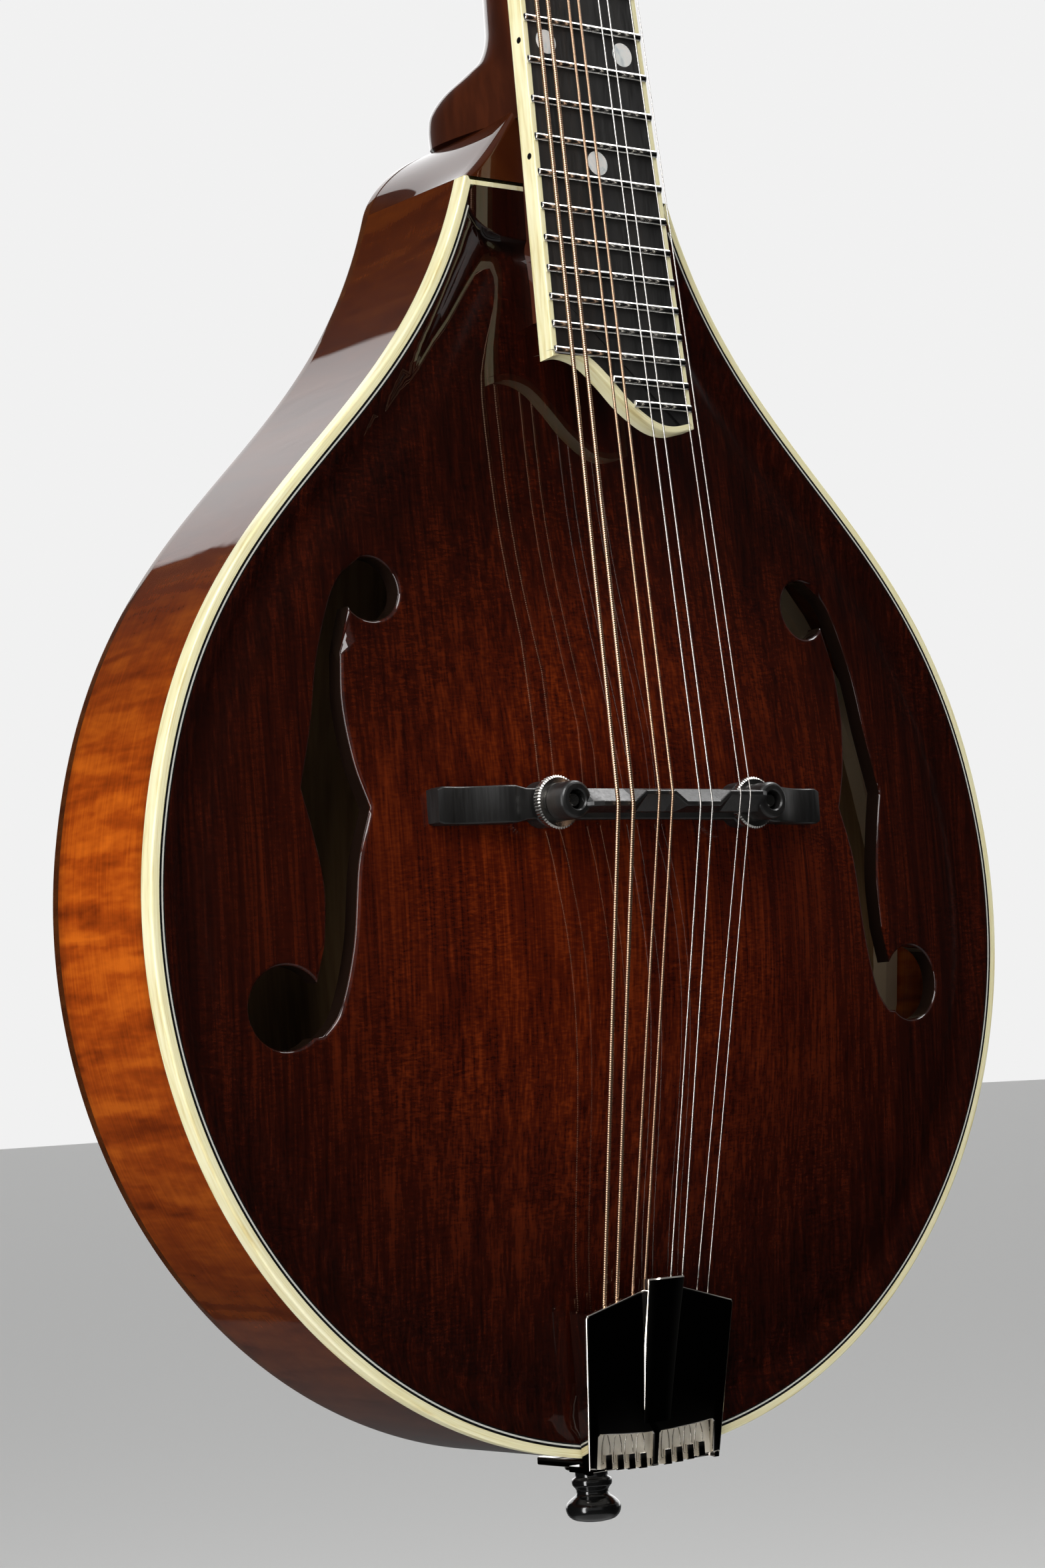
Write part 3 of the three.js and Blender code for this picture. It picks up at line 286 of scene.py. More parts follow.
def ebony(name, rough, shine):
    """Near black, with short open pores along the grain and faint brown streaks."""
    n = Nodes(name)
    place = n.place()
    pores = n.noise(n.stretched(place, (1, 1, 0.06)), 1500, 2, 0.6)
    streak = n.noise(n.stretched(place, (1, 1, 0.03)), 160, 3)
    tones = [(0.35, (0.0070, 0.0068, 0.0068)), (0.62, (0.0140, 0.0130, 0.0122)), (0.8, (0.026, 0.019, 0.014))]
    color = n.ramp(streak, tones)
    roughness = n.mapped(pores, 0.3, 0.7, rough + 0.12, rough - 0.05)
    bump = n.bump(n.mapped(pores, 0.25, 0.45), 0.00004, 0.3)
    return n.finish(
        Base_Color=color, Roughness=roughness, Normal=bump, Coat_Weight=shine, Coat_Roughness=0.18
    )


def ivoroid():
    """Grained celluloid: fine long lines through cream, which follow the strip."""
    n = Nodes("ivoroid")
    flat = n.joined(n.times(n.attribute("run"), 0.09), n.times(n.attribute("side"), 0.008))
    lines = n.noise(flat, 620, 3, 0.6, 0.2)
    wide = n.noise(flat, 210, 2)
    creams = [(0.32, (0.68, 0.57, 0.27)), (0.44, (0.81, 0.74, 0.42)), (0.60, (0.88, 0.83, 0.54))]
    color = n.ramp(lines, creams)
    color = n.mix(n.mapped(wide, 0.4, 0.7, 0, 0.35), color, (0.88, 0.82, 0.60))
    return n.finish(
        Base_Color=color,
        Roughness=0.30,
        Subsurface_Weight=0.12,
        Subsurface_Scale=0.002,
        Subsurface_Radius=(1.0, 0.8, 0.5),
        Coat_Weight=0.7,
        Coat_Roughness=0.08,
    )


def metal(name, color, rough, variation=0.03, wear=0.0, metallic=1.0):
    """Bare or plated metal with faint smudges and, where it is worn, fine scratches."""
    n = Nodes(name)
    place = n.place()
    smudge = n.noise(place, 90, 3)
    scratch = n.noise(n.stretched(place, (0.15, 1, 1)), 2500, 1)
    roughness = n.plus(n.mapped(smudge, 0.3, 0.7, rough, rough + variation), n.times(scratch, wear))
    tint = n.mix(n.mapped(smudge, 0.35, 0.75, 0, 0.25), color, tuple(0.8 * c for c in color))
    return n.finish(Base_Color=tint, Metallic=metallic, Roughness=roughness)


def wound(name, color, pitch):
    """A wound string: fine ridges round a core, with painted shade in the grooves between them. The mesh's
    run is metres along the string.
    """
    n = Nodes(name)
    wave = n.math("SINE", n.times(n.attribute("run"), 2 * math.pi / pitch))
    # Painted shade: the colour is halved in the grooves between the turns of the winding.
    color = n.mix(n.mapped(wave, -1.0, 0.2), tuple(0.5 * c for c in color), color)
    bump = n.bump(wave, 0.00004, 0.6)
    return n.finish(Base_Color=color, Metallic=1.0, Roughness=0.30, Normal=bump)


def pearl():
    """Mother of pearl: pale bands that shift between cool and warm."""
    n = Nodes("pearl")
    place = n.place()
    cloud = n.noise(n.stretched(place, (1, 1, 0.6)), 330, 3, 0.5, 1.2)
    cool = [(0.3, (0.48, 0.52, 0.54)), (0.45, (0.72, 0.74, 0.72))]
    warm = [(0.6, (0.80, 0.76, 0.72)), (0.75, (0.60, 0.66, 0.66))]
    return n.finish(
        Base_Color=n.ramp(cloud, cool + warm),
        Roughness=0.22,
        Sheen_Weight=0.3,
        Coat_Weight=0.8,
        Coat_Roughness=0.06,
    )


def plain(name, color, rough, coat=0.0, speckle=0.08):
    """A dyed solid with slight mottling."""
    n = Nodes(name)
    mottle = n.noise(n.place(), 240, 3)
    lighter = tuple(min(1, 1.6 * c + 0.01) for c in color)
    color = n.mix(n.mapped(mottle, 0.3, 0.7, 0, speckle), color, lighter)
    roughness = n.mapped(mottle, 0.3, 0.7, rough, rough + 0.06)
    return n.finish(Base_Color=color, Roughness=roughness, Coat_Weight=coat, Coat_Roughness=0.05)


TOP_WOOD = spruce_top()
SIDE_WOOD = flamed_maple(
    "flamed_maple", (0.54, 0.112, 0.0070), (0.330, 0.052, 0.0034), (0.160, 0.022, 0.0020)
)
BACK_WOOD = flamed_maple("flamed_maple_back", (0.33, 0.10, 0.018), (0.20, 0.052, 0.009), (0.10, 0.022, 0.005))
NECK_WOOD = solid_wood(
    "neck_maple", (0.085, 0.0190, 0.0060), (0.034, 0.0080, 0.0034), 1.0, 0.4, (1, 1, 0.25), 160
)
RAW_WOOD = solid_wood("bare_spruce", (0.30, 0.18, 0.08), (0.18, 0.10, 0.045), 0.0, 0.8)
BOARD_EBONY = ebony("board_ebony", 0.42, 0.12)
BRIDGE_EBONY = ebony("bridge_ebony", 0.36, 0.25)
IVOROID = ivoroid()
NICKEL = metal("nickel", (0.80, 0.76, 0.70), 0.035, 0.04)
PLATE_NICKEL = metal("bare_plate", (0.97, 0.91, 0.79), 0.38, 0.06, metallic=0.25)
SATIN_NICKEL = metal("worn_nickel", (0.72, 0.70, 0.66), 0.16, 0.08, 0.08)
FRET_METAL = metal("nickel_silver", (0.80, 0.79, 0.76), 0.12, 0.06, 0.06)
STEEL = metal("plain_steel", (0.96, 0.91, 0.85), 0.22, 0.05, 0.04)
BONE = plain("bone", (0.80, 0.75, 0.62), 0.3, 0.3)
BLACK_GLOSS = plain("black_gloss", (0.006, 0.006, 0.006), 0.12, 0.8)
BLACK_LINE = plain("black_line", (0.004, 0.004, 0.004), 0.25, 0.8)
WHITE_LINE = plain("white_line", (0.55, 0.55, 0.50), 0.25, 0.8)
BUTTON = plain("button", (0.78, 0.72, 0.58), 0.18, 0.6, 0.3)
PEARL = pearl()


# ---------- Making pieces ----------
SIDES = (("bass", -1), ("treble", 1))  # each side's name, and its way along x


def unit(v):
    return v / np.linalg.norm(v, axis=-1, keepdims=True)


def make(
    name, solid, material, slot, body="root", replaces=(), sharp=35, place=None, turn=True, **attributes
):
    """One shown piece, from (points in millimetres, faces). place is the frame its points are in."""
    points, faces = solid
    points = np.asarray(points, float).reshape(-1, 3)
    if place is not None:
        points = points @ np.array(place.to_3x3()).T + np.array(place.translation)
    mesh = bpy.data.meshes.new(name)
    mesh.from_pydata((points * MM).tolist(), [], [[int(i) for i in face] for face in faces])
    for key, values in attributes.items():
        layer = mesh.attributes.new(key, "FLOAT", "POINT")
        layer.data.foreach_set("value", np.broadcast_to(values, len(points)).astype(np.float32))
    if turn:
        work = bmesh.new()
        work.from_mesh(mesh)
        bmesh.ops.recalc_face_normals(work, faces=work.faces)
        work.to_mesh(mesh)
        work.free()
    mesh.shade_smooth()
    mesh.set_sharp_from_angle(angle=math.radians(sharp))
    mesh.materials.append(material)
    piece = bpy.data.objects.new(name, mesh)
    scene.collection.objects.link(piece)
    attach(piece, body)
    if replaces:
        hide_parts(*replaces)
    return piece


def merged(*solids):
    points, faces, start = [], [], 0
    for some, theirs in solids:
        some = np.asarray(some, float).reshape(-1, 3)
        points.append(some)
        faces += [[i + start for i in face] for face in theirs]
        start += len(some)
    return np.vstack(points), faces


def quads(rows, columns, ring=False, loop=False):
    """Faces of a grid of points, row by row.

    ring joins each row's ends, and loop joins the last row to the first.
    """
    a = np.arange(rows if loop else rows - 1)[:, None]
    b = np.arange(columns if ring else columns - 1)[None]
    low, high = a * columns, (a + 1) % rows * columns
    corners = [low + b, low + (b + 1) % columns, high + (b + 1) % columns, high + b]
    return np.stack(np.broadcast_arrays(*corners), -1).reshape(-1, 4).tolist()


def loft(rings):
    """A closed body through rings of points, with flat ends."""
    rings = np.asarray(rings, float)
    rows, columns = rings.shape[:2]
    faces = quads(rows, columns, ring=True)
    faces.append(list(range(columns)))
    faces.append([(rows - 1) * columns + i for i in range(columns)])
    return rings.reshape(-1, 3), faces


def mitred(line, closed=False):
    """For each point of a line in x and z, the step to its right that moves both its sides by one."""
    line = np.asarray(line, float)
    step = unit(np.roll(line, -1, 0) - line)
    before = np.roll(step, 1, 0)
    if not closed:
        step[-1] = before[-1]
        before[0] = step[0]
    out = [np.stack([v[:, 1], -v[:, 0]], 1) for v in (before, step)]
    return (out[0] + out[1]) / (1 + np.sum(out[0] * out[1], 1, keepdims=True))


def swept(line, profile, closed=False, out=None):
    """A profile of (inset, y), carried along a line in x and z. Points by row, one row to a station."""
    line = np.asarray(line, float)
    out = mitred(line, closed) if out is None else out
    inset, y = np.asarray(profile, float).T
    flat = line[:, None] - out[:, None] * inset[None, :, None]
    return np.stack([flat[..., 0], np.broadcast_to(y, flat.shape[:2]), flat[..., 1]], -1)


def rounding(radius, inset, y, turn=1, steps=4):
    """Profile points round an edge, from its side to its face. turn is 1 for an edge at the front."""
    a = np.linspace(0, math.pi / 2, steps + 1)
    return [(inset + radius * (1 - math.cos(t)), y + turn * radius * (1 - math.sin(t))) for t in a]


def slab(outline, front, back, edge=0.3, back_edge=0.1):
    """A plate over a closed outline in x and z, anticlockwise, with rounded edges at both faces."""
    profile = rounding(back_edge, 0, back, -1, 2)[::-1] + rounding(edge, 0, front, 1, 3)
    rows = swept(outline, profile, closed=True)
    return loft(rows.transpose(1, 0, 2))


def block(x, y, z, edge=0.2):
    outline = [(x[0], z[0]), (x[1], z[0]), (x[1], z[1]), (x[0], z[1])]
    return slab(outline, y[0], y[1], edge, edge)


def turned(profile, centre, axis, sides=32):
    """A profile of (radius, distance along the axis), turned round an axis through the centre."""
    axis = unit(np.asarray(axis, float))
    across = unit(np.cross(axis, (0.3, 0.5, 0.8)))
    other = np.cross(axis, across)
    a = np.linspace(0, 2 * math.pi, sides, endpoint=False)
    round_ = np.cos(a)[:, None] * across + np.sin(a)[:, None] * other
    rings = [np.asarray(centre) + along * axis + max(radius, 0.001) * round_ for radius, along in profile]
    return loft(rings)


def tube(path, radius, sides):
    """A round wire along a path."""
    path = np.asarray(path, float)
    along = unit(np.gradient(path, axis=0))
    across = unit(np.cross(along[0], (0.31, 0.52, 0.8)))
    a = np.linspace(0, 2 * math.pi, sides, endpoint=False)
    rings = []
    for point, way in zip(path, along):
        across = unit(across - way * np.dot(across, way))
        other = np.cross(way, across)
        rings.append(point + radius * (np.cos(a)[:, None] * across + np.sin(a)[:, None] * other))
    return loft(rings)


def smooth(points, steps):
    """A smooth line through points, with so many steps between each two."""
    p = np.asarray(points, float)
    p = np.vstack([2 * p[0] - p[1], p, 2 * p[-1] - p[-2]])
    t = np.linspace(0, 1, steps, endpoint=False)[:, None]
    spans = []
    for a, b, c, d in zip(p, p[1:], p[2:], p[3:]):
        spans.append(b + 0.5 * t * (c - a + t * (2 * a - 5 * b + 4 * c - d + t * (3 * (b - c) + d - a))))
    return np.vstack([*spans, p[-2:-1]])


def bezier(a, b, c, d, steps):
    t = np.linspace(0, 1, steps)[:, None]
    return (1 - t) ** 3 * a + 3 * (1 - t) ** 2 * t * b + 3 * (1 - t) * t * t * c + t**3 * d


def lengths(line):
    """Distance along a line at each of its points."""
    return np.concatenate([[0], np.cumsum(np.linalg.norm(np.diff(line, axis=0), axis=1))])


def flipped(line):
    """A half outline's other half, run backwards."""
    return np.asarray(line)[::-1] * (-1, 1)


def ease(value, low, high):
    t = np.clip((value - low) / (high - low), 0, 1)
    return t * t * (3 - 2 * t)


# ---------- The body's outline ----------
def half_outline():
    """Right half of the rim, from the tail to the corner by the neck."""
    a = np.linspace(-math.pi / 2, BOUT_END, 96)
    arc = np.stack([BOUT * np.cos(a), BOUT * (1 + np.sin(a))], 1)
    arc[0, 0] = 0
    rise = np.array([-math.sin(BOUT_END), math.cos(BOUT_END)])
    lean = np.array([math.sin(FLANK_LEAN), -math.cos(FLANK_LEAN)])
    flank = bezier(arc[-1], arc[-1] + FLANK_PULL[0] * rise, CORNER + FLANK_PULL[1] * lean, CORNER, 64)
    return np.vstack([arc, flank[1:]])


HALF = half_outline()
RIM = np.vstack([flipped(HALF)[:-1], HALF])  # from the left corner, round the tail, to the right one
RIM_OUT = mitred(RIM)
RIB_FRONT = FRONT + BINDING_HIGH
RIB_BACK = BACK - BACK_EDGE
LEAN = math.tan(NECK_ANGLE)

# Past the corner the rib turns in to the neck. Its front edge runs almost straight, and its back edge
# carries the flank on and then rounds over.
SHOULDER_FRONT = np.array([CORNER, (26.6, 304.6), (20.6, 311.4), SHOULDER])
SHOULDER_BACK = np.array([CORNER, (29.1, 308.7), (20.5, 317.0), (8.0, 320.9)])


def shoulder(share):
    """The shoulder's line at a share of the body's depth, from 0 at the front to 1 at the back."""
    return bezier(*(SHOULDER_FRONT + (SHOULDER_BACK - SHOULDER_FRONT) * share), 28)


BACK_HALF = np.vstack([HALF, shoulder(1)[1:]])
BACK_RIM = np.vstack([BACK_HALF, flipped(BACK_HALF)[:-1]])


def line_distance(points, line, closed=False):
    """Distance from each point to a line in the plane."""
    best = np.full(len(points), np.inf)
    ends = np.roll(line, -1, 0) if closed else line[1:]
    for start, end in zip(line, ends):
        way = end - start
        if not way.any():
            continue
        t = np.clip((points - start) @ way / (way @ way), 0, 1)
        best = np.minimum(best, np.hypot(*(points - start - t[:, None] * way).T))
    return best


def inside(points, loop):
    """Whether each point lies in a closed loop."""
    found = np.zeros(len(points), bool)
    x, z = points.T
    for (ax, az), (bx, bz) in zip(loop, np.roll(loop, -1, 0)):
        if az != bz:
            found ^= ((az > z) != (bz > z)) & (x < ax + (z - az) * (bx - ax) / (bz - az))
    return found


THIN = BACK_HALF[::2]  # every second point is enough to measure distances by


def edge_distance(points):
    """Distance to the body's edge, with the ridge down the middle of the neck end softened."""
    right = line_distance(points, THIN)
    left = line_distance(points * (-1, 1), THIN)
    soft = 2 + 58 * ease(points[:, 1], BOUT, 230)
    share = np.maximum(soft - abs(left - right), 0) / soft
    return np.minimum(left, right) - share * share * soft / 4 * ease(points[:, 1], BOUT, 170)


def arch(points, high, dip):
    """Height of a carved plate over the rim plane: a hollow inside its edge, then the arch."""
    far = edge_distance(points)
    rise = np.minimum(1, (1 - far / BOUT) / 0.93)
    hollow = dip * ease(far, 3.2, 9.5) * np.exp(-((np.maximum(far - 9.5, 0) / 6) ** 2))
    return high * (0.5 + 0.5 * np.cos(math.pi * rise)) - hollow


# ---------- The top plate ----------
PURFLING = 3.3  # from the rim's edge to the inside of the black and white lines
PURFLING_END = 295.5
UPPER_LOBE = (66, 201.8, 7.4)  # x, z, radius
LOWER_LOBE = (94.6, 107.7, 9.4)
STEM_INNER = (
    [(75.3, 187), (76.1, 175), (74.5, 162), (71.4, 151.7)],
    [(71.4, 151.7), (75.2, 139), (77.6, 120.5), (81.5, 106.5), (86.5, 100.4)],
)
STEM_OUTER = (
    [(84.4, 122), (83.8, 134), (85.8, 147), (87.9, 156.2)],
    [(87.9, 156.2), (84.3, 170.5), (81.2, 186), (76.4, 200), (72.5, 205.9)],
)
PLATFORM = [(31.2, 299.3), (30.5, 294.5), (27.3, 290.7), (21.5, 288.6), (13.7, 288)]


def lobe(centre, start, end, steps):
    x, z, radius = centre
    a = np.radians(np.linspace(start, end, steps))
    return np.stack([x + radius * np.cos(a), z + radius * np.sin(a)], 1)


def f_hole():
    """Outline of the treble side's f-hole, anticlockwise."""
    parts = [
        lobe(UPPER_LOBE, 75, 332, 40)[:-1],
        smooth(STEM_INNER[0], 9)[:-1],
        smooth(STEM_INNER[1], 9)[:-1],
        lobe(LOWER_LOBE, -140, 152, 46)[1:-1],
        smooth(STEM_OUTER[0], 9)[:-1],
        smooth(STEM_OUTER[1], 9)[:-1],
    ]
    return np.vstack(parts)


HOLES = [f_hole(), flipped(f_hole())]
LEDGE = smooth(PLATFORM, 8)
LEDGE = np.vstack([LEDGE, flipped(LEDGE)])
LEDGE_LOOP = np.vstack([[(36, 304)], LEDGE, [(-36, 304)]])
HOLE_EDGE = 0.9


def below_ledge(points):
    """How far each point is down the cove below the ledge: 0 on the flat, 1 where the cove ends."""
    far = line_distance(points, LEDGE) * np.where(inside(points, LEDGE_LOOP), -1, 1)
    cove = 1.2 + 4.0 * (1 - ease(abs(points[:, 0]), 15, 34))
    return np.clip(far / cove, 0, 1)


def top_height(points):
    """Height of the top's face over the rim plane."""
    dip = 1.6 + 1.2 * ease(points[:, 1], 240, 285)
    high = arch(points, TOP_ARCH, dip)
    down = below_ledge(points)
    high = high * (1 - (1 - down) ** 2) - 1.4 * down * (1 - down)
    gap = np.minimum(*(line_distance(points, loop, True) for loop in HOLES))
    turned_down = 1 - np.sqrt(1 - (1 - np.clip(gap / HOLE_EDGE, 0.02, 1)) ** 2)
    return high - 0.85 * HOLE_EDGE * turned_down


def offsets(loop, distances, closed):
    out = mitred(loop, closed)
    return [loop + np.clip(out, -1.5, 1.5) * d for d in distances]


def cut_mesh(outline, holes, extra, spacing, clear):
    """Triangles over an outline in the plane, less its holes, through the extra points and an even grid."""
    low, high = outline.min(0), outline.max(0)
    rows = np.arange(low[1], high[1], spacing * 0.866)
    columns = np.arange(low[0], high[0], spacing)
    grid = np.vstack([[(x + spacing / 2 * (i % 2), z) for x in columns] for i, z in enumerate(rows)])
    grid = grid[inside(grid, outline)]
    for loop in [outline, *holes]:
        grid = grid[line_distance(grid, loop, True) > clear]
        grid = grid[inside(grid, loop)] if loop is outline else grid[~inside(grid, loop)]
    edges, start = [], 0
    for loop in (outline, *holes):
        n = len(loop)
        edges += [(start + i, start + (i + 1) % n) for i in range(n)]
        start += n
    extra = extra[inside(extra, outline)] if len(extra) else np.zeros((0, 2))
    cloud = np.vstack([outline, *holes, extra, grid])
    made = geometry.delaunay_2d_cdt([Vector(p) for p in cloud], edges, [], 0, 1e-5)
    flat = np.array([(v.x, v.y) for v in made[0]])
    faces = np.array(made[2])
    middle = flat[faces].mean(1)
    keep = inside(middle, outline)
    for loop in holes:
        keep &= ~inside(middle, loop)
    return flat, faces[keep]


def raised(flat, height, front=True):
    """Points and unit normals of a face whose height over the rim plane is a function of x and z."""
    step = 0.05
    high = height(flat)
    slope = [(height(flat + d) - height(flat - d)) / (2 * step) for d in ((step, 0), (0, step))]
    way = -1 if front else 1
    plane = FRONT if front else BACK
    points = np.stack([flat[:, 0], plane + way * high, flat[:, 1]], 1)
    normals = unit(np.stack([-slope[0], np.full(len(flat), float(way)), -slope[1]], 1))
    return points, normals


def faced(name, points, normals, faces, material, slot, replaces=(), **attributes):
    """A curved sheet of triangles with the normals of its true surface."""
    a, b, c = (points[faces[:, i]] for i in range(3))
    wrong = np.sum(np.cross(b - a, c - a) * normals[faces[:, 0]], 1) < 0
    faces = np.where(wrong[:, None], faces[:, ::-1], faces)
    solid = (points, faces)
    piece = make(name, solid, material, slot, replaces=replaces, sharp=180, turn=False, **attributes)
    piece.data.normals_split_custom_set_from_vertices(normals.tolist())
    return piece


def make_top():
    low = HALF[:, 1] < PURFLING_END
    out = mitred(RIM)[len(HALF) - 1 :]
    right = np.vstack([HALF[low] - PURFLING * out[low], HALF[~low] - BINDING * out[~low]])
    right = right[right[:, 1] < BODY_TOP - BINDING - 0.3]
    right[0, 0] = 0
    corner = np.array([[CORNER[0] - BINDING * 1.3, BODY_TOP - BINDING]])
    right = np.vstack([right, corner])
    outline = np.vstack([right, flipped(right)[:-1]])
    # The mesh is finer beside the ledge and round the holes' rolled edges.
    beside = [way * d for d in (0, 0.25, 0.6, 1.1, 1.8, 2.7, 3.8, 5.0) for way in (-1, 1)][1:]
    lines = offsets(LEDGE, beside, False)
    for loop in HOLES:
        lines += offsets(loop, (0.06, 0.16, 0.3, 0.5, 0.7, HOLE_EDGE, 1.6), True)
    flat, faces = cut_mesh(outline, HOLES, np.vstack(lines), 3.0, 2.2)
    points, normals = raised(flat, top_height)
    # The cove below the ledge is marked here for painted shade, near black in the top's material.
    down = below_ledge(flat)
    shade = 0.92 * (1 - ease(down, 0.55, 1.0)) * ease(down, 0, 0.05)
    faced("top_face", points, normals, faces, TOP_WOOD, "top_wood", ("top_plate",), shade=shade)
    under = points + (0, PLATE, 0)
    under[:, 1] = np.minimum(under[:, 1], FRONT + BINDING_HIGH)
    faced("top_underside", under, -normals, faces, RAW_WOOD, "raw_wood")
    walls = []
    for loop in HOLES:
        top = raised(loop, top_height)[0]
        walls.append((np.vstack([top, top + (0, PLATE, 0)]), quads(2, len(loop), ring=True)))
    make("f_hole_walls", merged(*walls), TOP_WOOD, "top_wood", sharp=50)


make_top()


def make_back():
    """The carved back, with its rounded edge."""
    edge = 1.4
    profile = [(RIB + 6, RIB_BACK), (0, RIB_BACK)] + rounding(edge, 0, BACK, -1, 5)
    rows = swept(BACK_RIM, profile, closed=True)
    flat, faces = cut_mesh(rows[:, -1][:, [0, 2]], [], np.zeros((0, 2)), 3.4, 3.0)

    def height(p):
        return arch(p, BACK_ARCH, 0.8) * ease(edge_distance(p), edge, 8)

    points, normals = raised(flat, height, front=False)
    fade = line_distance(flat, BACK_RIM, True)
    shade = 0.75 * (1 - ease(fade, 4, 42))
    run = (flat[:, 1] + 0.12 * abs(flat[:, 0])) * MM
    faced("back_face", points, normals, faces, BACK_WOOD, "side_wood", ("back_plate",),
          run=run, side=flat[:, 0] * MM, shade=shade)
    faced("back_inside", points - (0, PLATE, 0), -normals, faces, RAW_WOOD, "raw_wood")
    columns = len(profile)
    faces = quads(len(rows), columns, loop=True)
    run = np.repeat(lengths(BACK_RIM), columns) * MM
    make("back_edge", (rows.reshape(-1, 3), faces), BACK_WOOD, "side_wood",
         sharp=50, run=run, side=0.0, shade=0.8)


make_back()


# ---------- Ribs and shoulders ----------
def make_ribs():
    depth = np.linspace(RIB_FRONT, RIB_BACK, 14)
    profile = [(0, y) for y in depth] + [(RIB, y) for y in depth[::-1]]
    out = mitred(HALF)
    out[0] = (0, -1)
    rows = swept(HALF, profile, out=out)
    run = np.repeat(lengths(HALF), len(profile)) * MM
    y = rows[..., 1].ravel()
    shade = rib_shade(np.repeat(HALF[:, 1], len(profile)), y)
    for name, way in SIDES:
        # The two ribs are cut from different places along one board.
        make(f"rib_{name}_side", loft(rows * (way, 1, 1)), SIDE_WOOD, "side_wood", replaces=(f"rib_{name}",),
             sharp=50, run=run + (0.4 if way < 0 else 0), side=y * MM, shade=shade)


def rib_shade(z, y):
    """Darkening on the sides: the sunburst along both edges, and darker at the tail and towards the neck."""
    across = abs(y / BACK)
    edge = 0.75 * ease(across, 0.62, 1.0)
    ends = 0.88 * ease(z, 140, 225) + 0.86 * (1 - ease(z, 20, 130))
    return np.clip(np.maximum(edge, ends), 0, 0.93)


def make_shoulder():
    """The solid end of the sides, from the corners to the neck joint."""
    edge = 1.5
    levels = rounding(edge, 0, FRONT, 1, 5)[::-1]
    levels += [(0, y) for y in np.linspace(FRONT + edge, RIB_BACK, 16)[1:]]
    rings = []
    for inset, y in levels:
        share = (y - FRONT) / (BACK - FRONT)
        line = shoulder(ease(share, -0.25, 1.1))
        line = line - inset * mitred(line)
        line[-1, 1] = SHOULDER_TOP + (y - FRONT) * LEAN
        line[0, 1] = max(line[0, 1], BODY_TOP + 0.02)
        whole = np.vstack([line, flipped(line)])
        rings.append(np.insert(whole, 1, y, axis=1))
    rings = np.array(rings)
    run = np.tile(np.linspace(0.46, 0.485, rings.shape[1]), len(rings))
    y = rings[..., 1].ravel()
    make("shoulder_block", loft(rings), SIDE_WOOD, "side_wood", replaces=("head_block",), sharp=48,
         run=run, side=y * MM, shade=0.93)
    make("neck_block", block((-26, 26), (RIB_FRONT, RIB_BACK), (268, 301.5)), RAW_WOOD, "raw_wood")


make_ribs()
make_shoulder()


# ---------- Binding and purfling ----------
def strip(name, line, out, profile, material, slot, replaces=()):
    """A bar of a closed profile let into the rim, with its grain along it."""
    rows = swept(line, profile, out=out)
    round_ = np.vstack([profile, profile[:1]])
    side = np.tile(lengths(round_)[:-1], len(rows)) / 8
    run = np.repeat(lengths(line), len(profile)) * MM
    make(name, loft(rows), material, slot, replaces=replaces, sharp=40, run=run, side=side)


def make_binding():
    top_out = np.array((0, 1.0))
    out = RIM_OUT.copy()
    for i in (0, -1):
        out[i] = (out[i] + top_out) / (1 + out[i] @ top_out)
    profile = [(BINDING, FRONT), (BINDING, FRONT + BINDING_HIGH), (0, FRONT + BINDING_HIGH)]
    profile += rounding(0.55, 0, FRONT, 1, 4)
    strip("body_binding_edge", RIM, out, profile, IVOROID, "ivoroid", ("body_binding",))
    # The straight pieces across the top edge have their grain across them.
    for name, way in SIDES:
        x = [way * CORNER[0], way * (RISER_HALF + 0.05)]
        inner = way * (CORNER - BINDING * out[-1])[0]
        low = BODY_TOP - BINDING
        corners = [(x[0], BODY_TOP), (x[1], BODY_TOP), (x[1], low), (inner, low)]
        corners = corners if way > 0 else corners[::-1]
        points, faces = slab(corners, FRONT, FRONT + BINDING_HIGH, 0.05, 0.05)
        make(f"top_strip_{name}", (points, faces), IVOROID, "ivoroid",
             run=points[:, 2] * MM, side=points[:, 0] / 8)
    keep = RIM[:, 1] < PURFLING_END + 0.5
    for name, low, high, material in (
        ("outer", BINDING, 2.55, BLACK_LINE),
        ("middle", 2.55, 2.95, WHITE_LINE),
        ("inner", 2.95, PURFLING, BLACK_LINE),
    ):
        bar = [(high, FRONT), (high, FRONT + 2), (low, FRONT + 2), (low, FRONT)]
        strip(f"purfling_{name}", RIM[keep], RIM_OUT[keep], bar, material, "black_line")


make_binding()


# ---------- Fingerboard ----------
BOARD_END = [(-15.7, 248.4), (-10, 250), (-4.6, 254.4), (1, 259.8), (8, 264.2), (14, 265.3)]
BASS_CORNER = 249.3
TREBLE_CORNER = 263.9
DOTS = {5: (0,), 7: (0,), 10: (0,), 12: (-11.7, 11.7), 15: (0,)}
SIDE_DOTS = (5, 7, 10, 12, 15)


def board_path():
    """Down the board's bass side, along its swept end and up its treble side."""
    left = [(-board_half(s), -s) for s in np.linspace(1.6, BASS_CORNER, 30)]
    right = [(board_half(s), -s) for s in np.linspace(TREBLE_CORNER, 1.6, 30)]
    sweep = smooth([left[-1], *((x, -s) for x, s in BOARD_END), right[0]], 9)
    return np.vstack([left[:-1], sweep, right[1:]])


def between_frets(n):
    return (fret_at(n - 1) + fret_at(n)) / 2


def fret_bass_end(s, path):
    """x of a fret's bass end: near the board's side, or where the sweep crosses it."""
    if s < BASS_CORNER - 1.5:
        return -board_half(s) + 0.5
    sweep = path[(path[:, 1] < -BASS_CORNER - 0.05) & (path[:, 0] < 13)]
    return float(np.interp(s + 1.3, -sweep[:, 1], sweep[:, 0])) + 0.9


